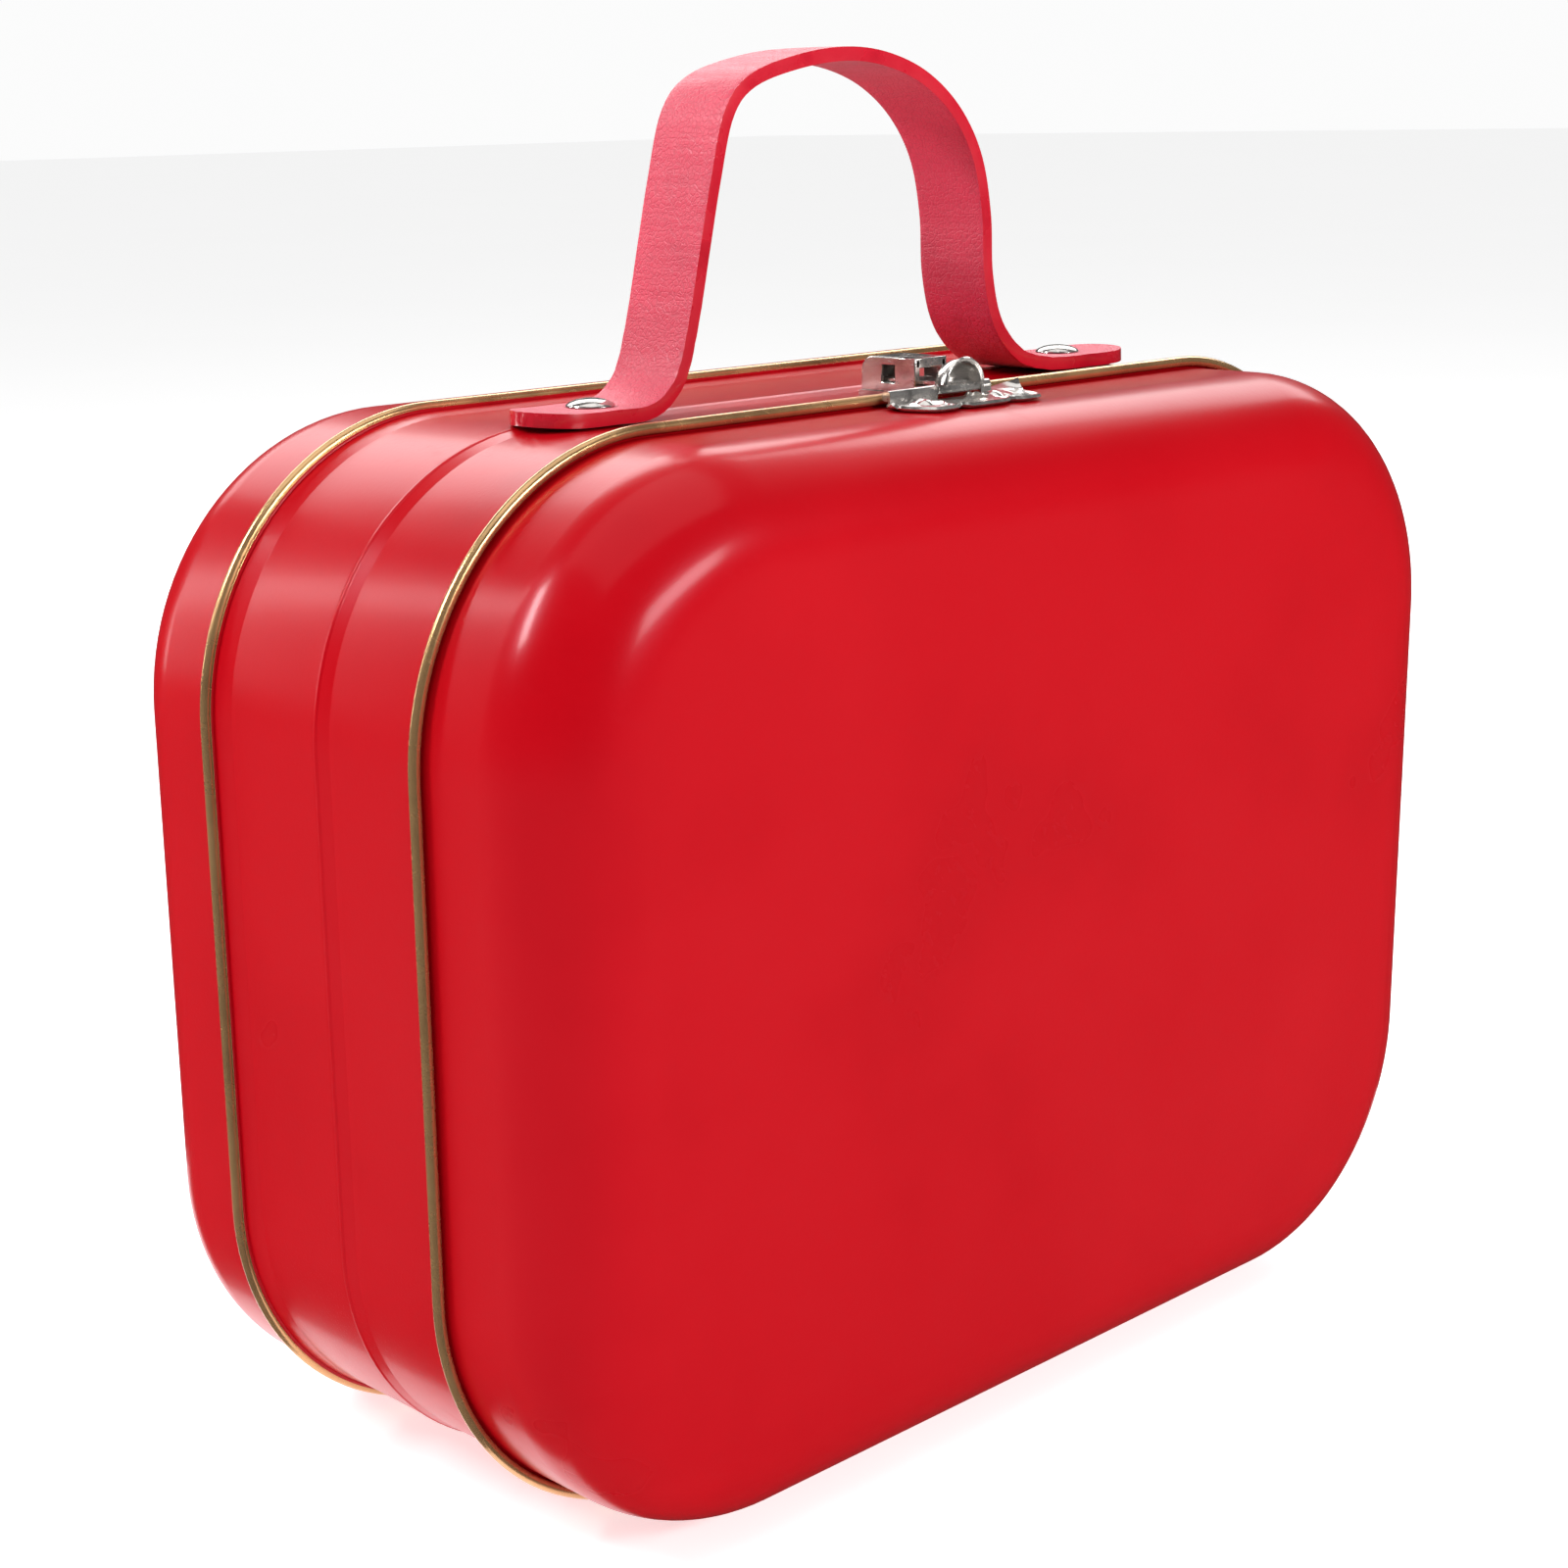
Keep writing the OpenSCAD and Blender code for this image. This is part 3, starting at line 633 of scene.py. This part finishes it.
class TINBOX_OT_band(bpy.types.Operator):
    """Rolled band with its step and foot pads, and the gold neck ring inside it"""

    bl_idname = "tin_box.band"
    bl_label = "Band"

    def execute(self, context):
        tin = context.scene.tin_box
        front, back = BAND_LOW.y, BAND_HIGH.y
        bm = bmesh.new()
        tip = start_profile(bm, 39.5, front)
        tip = line_to(bm, tip, 40.0, front)
        tip = line_to(bm, tip, 40.1, front + 0.1)
        for out, y in ((40.1, front + 1.1), (39.8, front + 1.7), (39.8, -1.15), (40.15, 1.1)):
            tip = flat_to(bm, tip, out, y, 0.12)
        for out, y in ((40.3, 1.3), (40.33, 1.5), (40.2, 1.85)):
            tip = line_to(bm, tip, out, y)
        for out, y in ((40.2, back - 4), (40.6, back - 0.35)):
            tip = flat_to(bm, tip, out, y, 0.12)
        line_to(bm, tip, 41.1, back - 0.35)
        sweep_round_case(bm)
        face_out(bm, (0, 0, 1))
        press_foot_pads(bm)
        cut_hinge_notches(bm, lambda p: p.z < 3 and p.y < front + 2,
                          lambda p: p.z < 3 and p.y < front + 1.75)
        piece = new_piece("band_shell", bm, "body", ["body_band"],
                          [grainy_enamel(), gold_lacquer()], 38)
        sheet_metal(piece, tin.sheet)

        bm = bmesh.new()
        low, high = box_mm("neck_ring")
        out = high.x - CORE_W
        tip = start_profile(bm, out - 0.3, low.y)
        for x, y in ((out, low.y + 0.9), (out, high.y)):
            tip = line_to(bm, tip, x, y, 3)
        sweep_round_case(bm)
        face_out(bm, (0, 0, 1))
        ring = new_piece("neck_liner", bm, "body", ["neck_ring"],
                         [gold_lacquer()], 50)
        add_modifier(ring, "SOLIDIFY", thickness=tin.sheet * MM, offset=-1)
        return {"FINISHED"}


# ---- Hardware ----


def rounded_copy(name, node, body, material, width=0.12):
    """A copy of a CAD node with its loose triangles joined and its edges rounded."""
    bm = bmesh.new()
    bm.from_mesh(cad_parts[node].data)
    bmesh.ops.scale(bm, vec=(1 / MM,) * 3, verts=bm.verts)
    bmesh.ops.remove_doubles(bm, verts=bm.verts, dist=0.001)
    bmesh.ops.dissolve_limit(bm, angle_limit=math.radians(1.5), verts=bm.verts, edges=bm.edges)
    piece = new_piece(name, bm, body, [node], [material], 35)
    if width:
        round_edges(piece, width)
    return piece


class TINBOX_OT_hinges(bpy.types.Operator):
    """Hinge leaves, pins and rivets"""

    bl_idname = "tin_box.hinges"
    bl_label = "Hinges"

    def execute(self, context):
        steel = hinge_steel()
        rounded_copy("hinge_leaves_of_band", "body_hinge_leaves", "body", steel, 0.1)
        rounded_copy("hinge_leaves_of_lid", "lid_hinge_leaves", "lid", steel, 0.1)
        rounded_copy("hinge_wires", "hinge_pins", "body", steel, 0.1)
        rounded_copy("hinge_rivets_of_band", "body_hinge_rivets", "body", steel, 0.2)
        rounded_copy("hinge_rivets_of_lid", "lid_hinge_rivets", "lid", steel, 0.2)
        return {"FINISHED"}


def boss(bm, low, high):
    """A closed box between two corners."""
    low, high = Vector(low), Vector(high)
    made = bmesh.ops.create_cube(bm, size=1)["verts"]
    bmesh.ops.scale(bm, vec=high - low, verts=made)
    bmesh.ops.translate(bm, vec=(low + high) / 2, verts=made)
    return made


def thicken(bm, faces, thickness):
    """Turns a thin skin into a closed sheet of metal."""
    bmesh.ops.recalc_face_normals(bm, faces=faces)
    bmesh.ops.solidify(bm, geom=faces, thickness=thickness)


def rolled_knuckle(bm, x0, x1, foot_z, turn=300):
    """Sheet that stands up from foot_z and rolls round the clasp's wire between x0 and x1."""
    old = set(bm.faces)
    tip = bm.verts.new((x0, CLASP_Y - 0.8, foot_z))
    done = bmesh.ops.extrude_vert_indiv(bm, verts=[tip])
    line = [tip, *done["verts"], *done["edges"]]
    tip = done["verts"][0]
    tip.co.z = CLASP_Z
    before = set(bm.verts) | set(bm.edges)
    spin(bm, [tip], (x0, CLASP_Y, CLASP_Z), (-1, 0, 0), turn, 16)
    line += [g for g in [*bm.verts, *bm.edges] if g not in before]
    steps = 4
    spin(bm, line, (0, 0, 0), (1, 0, 0), 0, steps, ((x1 - x0) / steps, 0, 0))
    thicken(bm, [f for f in bm.faces if f not in old], 0.4)


class TINBOX_OT_catch(bpy.types.Operator):
    """Catch on the band: leaf base, windowed channel with its folded lip, and rivets"""

    bl_idname = "tin_box.catch"
    bl_label = "Catch"

    def execute(self, context):
        metal = nickel()
        rounded_copy("catch_leaf", "catch_base", "body", metal, 0.15)
        rounded_copy("catch_box", "catch_channel", "body", metal, 0.2)
        rounded_copy("catch_leaf_rivets", "catch_rivets", "body", metal, 0)
        low, high = box_mm("catch_channel")
        bm = bmesh.new()
        boss(bm, (low.x + 0.3, low.y, high.z - 1.45), (high.x - 0.3, low.y + 0.5, high.z - 0.3))
        boss(bm, (low.x + 0.3, low.y, low.z), (low.x + 1.1, low.y + 0.5, high.z - 0.3))
        boss(bm, (high.x - 1.1, low.y, low.z), (high.x - 0.3, low.y + 0.5, high.z - 0.3))
        lip = new_piece("catch_box_lip", bm, "body", [], [metal], 35)
        round_edges(lip, 0.15)
        return {"FINISHED"}


PIN_LOW, PIN_HIGH = box_mm("clasp_pin")
CLASP_Y, CLASP_Z = (PIN_LOW.y + PIN_HIGH.y) / 2, (PIN_LOW.z + PIN_HIGH.z) / 2
KNUCKLE_HALF = 4.5
TONGUE_HALF = 2.5
CUP_DEPTH = 4.3
STAMPED_SHEET = 0.45
SCROLL_RIVET_X, SCROLL_RIVET_Y = 7.5, -27.35


class TINBOX_OT_clasp(bpy.types.Operator):
    """Clasp on the lid: embossed scroll plate, wire, rivets and snap lever with its thumb cup"""

    bl_idname = "tin_box.clasp"
    bl_label = "Clasp"

    def execute(self, context):
        metal = nickel()
        self.scroll(metal)
        rounded_copy("scroll_leaf_rivets", "scroll_rivets", "lid", metal, 0)
        rounded_copy("clasp_wire", "clasp_pin", "lid", metal, 0.1)
        self.lever(metal)
        return {"FINISHED"}

    def scroll(self, metal):
        """Butterfly-shaped plate with a raised lip, a volute round each rivet and lifted wings."""
        low, high = box_mm("scroll_plate")
        half = (high.x - low.x) / 2
        top = low.z + 0.55
        bm = bmesh.new()
        bmesh.ops.create_grid(bm, x_segments=96, y_segments=36, size=0.5)
        for vert in bm.verts:
            u, v = vert.co.x * 2, vert.co.y + 0.5
            reach = abs(u)
            front = low.y + 0.15 + 1.2 * math.exp(-((reach - 0.4) / 0.08) ** 2)
            front += 5.2 * max(0, (reach - 0.76) / 0.24) ** 2
            rear = CLASP_Y - 0.5 - 3.2 * max(0, (reach - 0.8) / 0.2) ** 2
            x, y = u * half, front + (rear - front) * v
            edge = min(y - front, (1 - reach) * half + 0.3)
            rx, ry = x - math.copysign(SCROLL_RIVET_X, u), y - SCROLL_RIVET_Y
            far, turn = math.hypot(rx, ry), math.atan2(ry, rx * math.copysign(1, u))
            volute = 0.5 + 0.5 * math.cos(math.tau * (far / 1.7) - turn)
            z = 0.4 * math.exp(-(edge / 0.45) ** 2)
            z += 0.34 * volute * min(1, max(0, (far - 1.5) / 0.4)) * math.exp(-(far / 3.6) ** 4)
            z -= 0.3 * math.exp(-(x / 3.2) ** 2 - ((y + 29.3) / 2.2) ** 2)
            z += 0.5 * math.exp(-((reach - 0.36 - 0.1 * v) / 0.045) ** 2) * (0.3 + 0.7 * v)
            lift = max(0, (u - 0.62) / 0.38) if u > 0 else 0.45 * max(0, (-u - 0.7) / 0.3)
            z += 1.9 * lift ** 1.5 * v ** 1.3
            vert.co = Vector((SCROLL_X + x, y, top + z))
        thicken(bm, bm.faces[:], STAMPED_SHEET)
        for side in (-1, 1):
            inner, outer = CLASP_X + side * (KNUCKLE_HALF + 0.3), SCROLL_X + side * (half - 2.5)
            rolled_knuckle(bm, min(inner, outer), max(inner, outer), top)
        bmesh.ops.recalc_face_normals(bm, faces=bm.faces)
        plate = new_piece("scroll_leaf", bm, "lid", ["scroll_plate"], [metal], 50)
        round_edges(plate, 0.12, 2, 50)

    def lever(self, metal):
        """Rolled knuckle, flat tongue that enters the catch, and a cup for the thumb."""
        low, high = box_mm("clasp_lever")
        cup_r, cup_y, cup_z = (high.x - low.x) / 2 - 0.55, low.y + 0.25, CLASP_Z + 0.5
        bm = bmesh.new()
        bmesh.ops.create_uvsphere(bm, u_segments=40, v_segments=24, radius=1)
        for normal in ((0, 0, -1), (0, -1, 0)):
            whole = bm.verts[:] + bm.edges[:] + bm.faces[:]
            bmesh.ops.bisect_plane(bm, geom=whole, plane_co=(0, 0, 0), plane_no=normal,
                                   clear_outer=True, dist=1e-5)
        bmesh.ops.scale(bm, vec=(cup_r, CUP_DEPTH, high.z - cup_z - 0.05), verts=bm.verts)
        bmesh.ops.translate(bm, vec=(CLASP_X, cup_y, cup_z), verts=bm.verts)
        rim = [e for e in bm.edges if e.is_boundary
               and all(abs(v.co.y - cup_y) < 0.01 for v in e.verts)]
        flare = bmesh.ops.extrude_edge_only(bm, edges=rim)["geom"]
        moved = [g for g in flare if isinstance(g, bmesh.types.BMVert)]
        bmesh.ops.scale(bm, vec=(1.1, 1, 1.06), verts=moved,
                        space=Matrix.Translation((-CLASP_X, 0, -cup_z)))
        bmesh.ops.translate(bm, vec=(0, -0.15, 0), verts=moved)
        thicken(bm, bm.faces[:], STAMPED_SHEET)
        rolled_knuckle(bm, CLASP_X - KNUCKLE_HALF, CLASP_X + KNUCKLE_HALF, CLASP_Z - 0.4, 330)
        tongue_z = MID_Z * 2 + 0.25
        boss(bm, (CLASP_X - TONGUE_HALF, CLASP_Y, tongue_z),
             (CLASP_X + TONGUE_HALF, high.y, tongue_z + 0.6))
        bmesh.ops.recalc_face_normals(bm, faces=bm.faces)
        lever = new_piece("snap_lever", bm, "clasp", ["clasp_lever"], [metal], 50)
        round_edges(lever, 0.12, 2, 50)


# ---- Handle ----

# Side view of the strap's middle line: x from the handle's middle, height above the foot
STRAP_LINE = (
    (-63.5, 0.35), (-57.25, 0), (-51, 0), (-46.6, 0), (-43, 1.1), (-39.5, 4.6), (-37, 12),
    (-34.6, 22), (-32.4, 31), (-29.6, 40), (-25, 44.4), (-16, 46.9), (-6, 48), (3, 47.2),
    (11.5, 44.4), (18.6, 39.4), (23.4, 32.6), (25.6, 24), (26.2, 15), (28.6, 7.4), (34, 2.2),
    (40.5, 0.4), (46.6, 0), (51, 0), (57.25, 0), (63.5, 0.35),
)
HANDLE_X, HANDLE_Y = 1.0, -0.95
STRAP_RIVET_X = 51
STRAP_FOOT_Z = 154.2


def strap_path(end_length):
    """Points along a smooth curve through the strap's line, closer together at its ends.
    Each is its distance along the line, its place and its direction."""
    knots = [Vector(p) for p in STRAP_LINE]
    fine = []
    for i in range(len(knots) - 1):
        a, b, c, d = (knots[min(max(i + k, 0), len(knots) - 1)] for k in (-1, 0, 1, 2))
        for step in range(24):
            t = step / 24
            fine.append(0.5 * (2 * b + (c - a) * t + (2 * a - 5 * b + 4 * c - d) * t * t
                               + (3 * b - a - 3 * c + d) * t ** 3))
    fine.append(knots[-1])
    reach = [0.0]
    for a, b in zip(fine, fine[1:]):
        reach.append(reach[-1] + (b - a).length)
    length = reach[-1]
    tip = [end_length * (1 - math.cos(math.pi / 2 * i / 10)) for i in range(10)]
    steps = round((length - 2 * end_length) / 1.3)
    middle = [end_length + (length - 2 * end_length) * i / steps for i in range(steps + 1)]
    path, j = [], 0
    for goal in tip + middle + [length - t for t in reversed(tip)]:
        while j < len(reach) - 2 and reach[j + 1] < goal:
            j += 1
        part = (goal - reach[j]) / (reach[j + 1] - reach[j])
        path.append((goal, fine[j].lerp(fine[j + 1], part), (fine[j + 1] - fine[j]).normalized()))
    return path


class TINBOX_OT_handle(bpy.types.Operator):
    """Leather strap with creased feet, its domed rivets and the washers inside"""

    bl_idname = "tin_box.handle"
    bl_label = "Handle"

    def execute(self, context):
        tin = context.scene.tin_box
        half_w, thick = tin.strap_width / 2, tin.strap_thickness
        round_l = half_w - 0.5
        path, across = strap_path(round_l), 13
        count, length = len(path), path[-1][0]
        bm = bmesh.new()
        bmesh.ops.create_grid(bm, x_segments=count - 1, y_segments=across - 1, size=0.5)
        uv = bm.loops.layers.uv.new("along_strap")
        for face in bm.faces:
            for loop in face.loops:
                station = path[round((loop.vert.co.x + 0.5) * (count - 1))]
                loop[uv].uv = (station[0] / 10, loop.vert.co.y * tin.strap_width / 10 + 5)
        for vert in bm.verts:
            index = round((vert.co.x + 0.5) * (count - 1))
            side = vert.co.y * 2
            reach, point, direction = path[index]
            end = min(reach, length - reach)
            narrow = 1.0
            if end < round_l:
                narrow = (0.5 + math.sqrt(round_l ** 2 - (round_l - end) ** 2)) / half_w
            normal = Vector((-direction.y, direction.x))
            bulge = 0.05 * math.sin(reach * 1.7) * math.exp(-((end - 26) / 9) ** 2)
            spot = point + normal * (bulge - 0.12 * side ** 2 * math.exp(-((end - 60) / 40) ** 2))
            vert.co = Vector((HANDLE_X + spot.x, HANDLE_Y + side * half_w * narrow,
                              STRAP_FOOT_Z + spot.y))
        face_out(bm, (0, 0, 1))
        piece = new_piece("strap", bm, "body", ["handle_strap"],
                          [strap_leather(), strap_leather(), edge_paint()], 60)
        add_modifier(piece, "SOLIDIFY", thickness=thick * MM, offset=0, material_offset=1,
                     material_offset_rim=2)
        round_edges(piece, 0.55, 3, 50)
        piece.modifiers["Bevel"].material = 2

        metal = nickel()
        bm = bmesh.new()
        for side in (-1, 1):
            self.rivet(bm, HANDLE_X + side * STRAP_RIVET_X)
        new_piece("strap_rivets", bm, "body", ["handle_rivets"], [metal], 40)
        rounded_copy("strap_washers", "handle_washers", "body", metal, 0.1)
        return {"FINISHED"}

    def rivet(self, bm, x):
        """Low domed rivet, turned from its half section."""
        low, high = box_mm("handle_rivets")
        seat = high.z - 1.2
        half = ((0.0, low.z), (2.3, low.z), (2.3, low.z + 0.4), (1.5, low.z + 0.4),
                (1.5, seat - 0.05), (3.3, seat - 0.05), (3.5, seat + 0.12), (3.45, seat + 0.3),
                (3.0, seat + 0.62), (2.2, seat + 0.95), (1.1, seat + 1.15), (0.0, seat + 1.2))
        tip = bm.verts.new((x, HANDLE_Y, half[0][1]))
        line = [tip]
        for r, z in half[1:]:
            goal = Vector((x + r, HANDLE_Y, z))
            done = bmesh.ops.extrude_vert_indiv(bm, verts=[tip])
            tip = done["verts"][0]
            line += done["edges"] + [tip]
            tip.co = goal
        faces_before = set(bm.faces)
        bmesh.ops.spin(bm, geom=line, cent=(x, HANDLE_Y, 0), axis=(0, 0, 1), dvec=(0, 0, 0),
                       angle=math.tau, steps=32, use_merge=True, use_duplicate=False)
        bmesh.ops.remove_doubles(bm, verts=bm.verts, dist=0.001)
        made = [f for f in bm.faces if f not in faces_before]
        bmesh.ops.recalc_face_normals(bm, faces=made)


# ---- Stage ----

# The camera: what it aims at and how far off it is in millimetres, and its angles in degrees
CAMERA_AIM, CAMERA_AWAY = (-34.64, 2.25, 86.28), 413.6
CAMERA_AROUND, CAMERA_ABOVE, CAMERA_ROLL = -42.66, 15.32, -1.24


class TINBOX_OT_stage(bpy.types.Operator):
    """Pale floor, soft studio light and the camera"""

    bl_idname = "tin_box.stage"
    bl_label = "Stage"

    def execute(self, context):
        scene = context.scene
        scene.view_settings.view_transform = "Standard"
        bm = bmesh.new()
        bmesh.ops.create_grid(bm, x_segments=8, y_segments=8, size=12.0)
        mesh = bpy.data.meshes.new("floor")
        bm.to_mesh(mesh)
        bm.free()
        floor = bpy.data.objects.new("floor", mesh)
        scene.collection.objects.link(floor)
        material, tree, shader, place = new_material(
            "Floor paper", Roughness=0.8, Specular_IOR_Level=0.2, Emission_Color=(1, 1, 1, 1),
            Emission_Strength=0.6,
        )
        drift = use_group(
            tree, effect("drift"), Vector=place, Colour=(0.9, 0.9, 0.9, 1),
            Deep=(0.88, 0.88, 0.88, 1), Pale=(0.92, 0.92, 0.92, 1), Size=3.0, Amount=0.5,
        )
        tree.links.new(drift[0], shader.inputs["Base Color"])
        mesh.materials.append(material)
        floor.visible_glossy = False
        self.add_glow_card(scene)

        world = bpy.data.worlds.new("Studio")
        world.use_nodes = True
        sky = world.node_tree
        ray = put(sky, "LightPath").outputs
        behind = scale_range(sky, ray["Is Camera Ray"], 0.0, 1.0, 0.36, 0.97)
        dimmer = scale_range(sky, ray["Is Glossy Ray"], 0.0, 1.0, 1.0, 0.12)
        plug(sky, sky.nodes["Background"].inputs[1], maths(sky, "MULTIPLY", behind, dimmer))
        sky.nodes["Background"].inputs[0].default_value = (1, 1, 1, 1)
        world.cycles.sampling_method = "NONE"
        scene.world = world
        middle = Vector((0, 0, 0.09))
        for name, around, height, away, roll, wide, high, power in (
            ("front softbox", 12, 23, 0.9, 0, 0.42, 0.14, 4.6),
            ("left strip", -122, 41, 0.9, 38, 0.09, 0.3, 5.0),
            ("left back strip", -148, 20, 1.0, 0, 0.07, 0.7, 1.8),
            ("back softbox", 138, 38, 1.1, 0, 1.8, 0.4, 11.0),
            ("top softbox", 0, 86, 1.2, 0, 1.2, 1.2, 6.0),
        ):
            lamp = bpy.data.lights.new(name, "AREA")
            lamp.shape = "RECTANGLE"
            lamp.size, lamp.size_y, lamp.energy = wide, high, power
            light = bpy.data.objects.new(name, lamp)
            way = Vector((0, -math.cos(math.radians(height)), math.sin(math.radians(height))))
            way.rotate(Matrix.Rotation(math.radians(around), 3, "Z"))
            turned = way.to_track_quat("Z", "Y").to_matrix().to_4x4()
            turned @= Matrix.Rotation(math.radians(roll), 4, "Z")
            light.matrix_world = Matrix.Translation(middle + way * away) @ turned
            scene.collection.objects.link(light)
        self.add_camera(scene)
        return {"FINISHED"}

    def add_glow_card(self, scene):
        """Card under the box that shows only as the table's paleness in its lower corners."""
        bm = bmesh.new()
        bmesh.ops.create_grid(bm, x_segments=2, y_segments=2, size=0.5)
        bmesh.ops.transform(bm, matrix=Matrix.Diagonal((0.25, 0.18, 1, 1)), verts=bm.verts)
        bmesh.ops.translate(bm, vec=(0.03, 0.06, 0.0004), verts=bm.verts)
        mesh = bpy.data.meshes.new("glow_card")
        bm.to_mesh(mesh)
        bm.free()
        card = bpy.data.objects.new("glow_card", mesh)
        scene.collection.objects.link(card)
        glow = new_material("Glow card", Emission_Color=(1, 0.93, 0.95, 1), Emission_Strength=0.9)
        mesh.materials.append(glow[0])
        card.visible_camera = card.visible_diffuse = card.visible_shadow = False

    def add_camera(self, scene):
        """Camera in front, to the left and a little above, slightly rolled."""
        angles = (CAMERA_AROUND, CAMERA_ABOVE, CAMERA_ROLL)
        azimuth, height, roll = (math.radians(a) for a in angles)
        right = Vector((math.cos(azimuth), math.sin(azimuth), 0))
        back = Vector((math.sin(azimuth) * math.cos(height), -math.cos(azimuth) * math.cos(height),
                       math.sin(height)))
        up = back.cross(right)
        tilted = right * math.cos(roll) + up * math.sin(roll)
        up = back.cross(tilted)
        data = bpy.data.cameras.new("camera")
        data.lens, data.sensor_width = 63.03, 36.0
        data.shift_x, data.shift_y = 0.0755, 0.0466
        data.clip_start, data.clip_end = 0.01, 20
        camera = bpy.data.objects.new("camera", data)
        place = Vector(CAMERA_AIM) + back * CAMERA_AWAY
        turned = Matrix((tilted, up, back)).transposed().to_4x4()
        camera.matrix_world = Matrix.Translation(place * MM) @ turned
        scene.collection.objects.link(camera)
        scene.camera = camera


class TINBOX_PT_panel(bpy.types.Panel):
    """Lists the steps that build the tin box"""

    bl_idname = "TINBOX_PT_panel"
    bl_label = "Tin box"
    bl_space_type = "VIEW_3D"
    bl_region_type = "UI"
    bl_category = "Tin box"

    def draw(self, context):
        for name in TinBoxSettings.__annotations__:
            self.layout.prop(context.scene.tin_box, name)
        for step in STEPS:
            self.layout.operator(step.bl_idname)


STEPS = (
    TINBOX_OT_stage, TINBOX_OT_lid, TINBOX_OT_back, TINBOX_OT_band, TINBOX_OT_hinges,
    TINBOX_OT_catch, TINBOX_OT_clasp, TINBOX_OT_handle,
)
CLASSES = (TinBoxSettings, *STEPS, TINBOX_PT_panel)


def register():
    for item in CLASSES:
        bpy.utils.register_class(item)
    bpy.types.Scene.tin_box = PointerProperty(type=TinBoxSettings)


def unregister():
    del bpy.types.Scene.tin_box
    for item in reversed(CLASSES):
        bpy.utils.unregister_class(item)


def main():
    register()
    for step in STEPS:
        group, name = step.bl_idname.split(".")
        getattr(getattr(bpy.ops, group), name)()


if __name__ == "__main__":
    main()
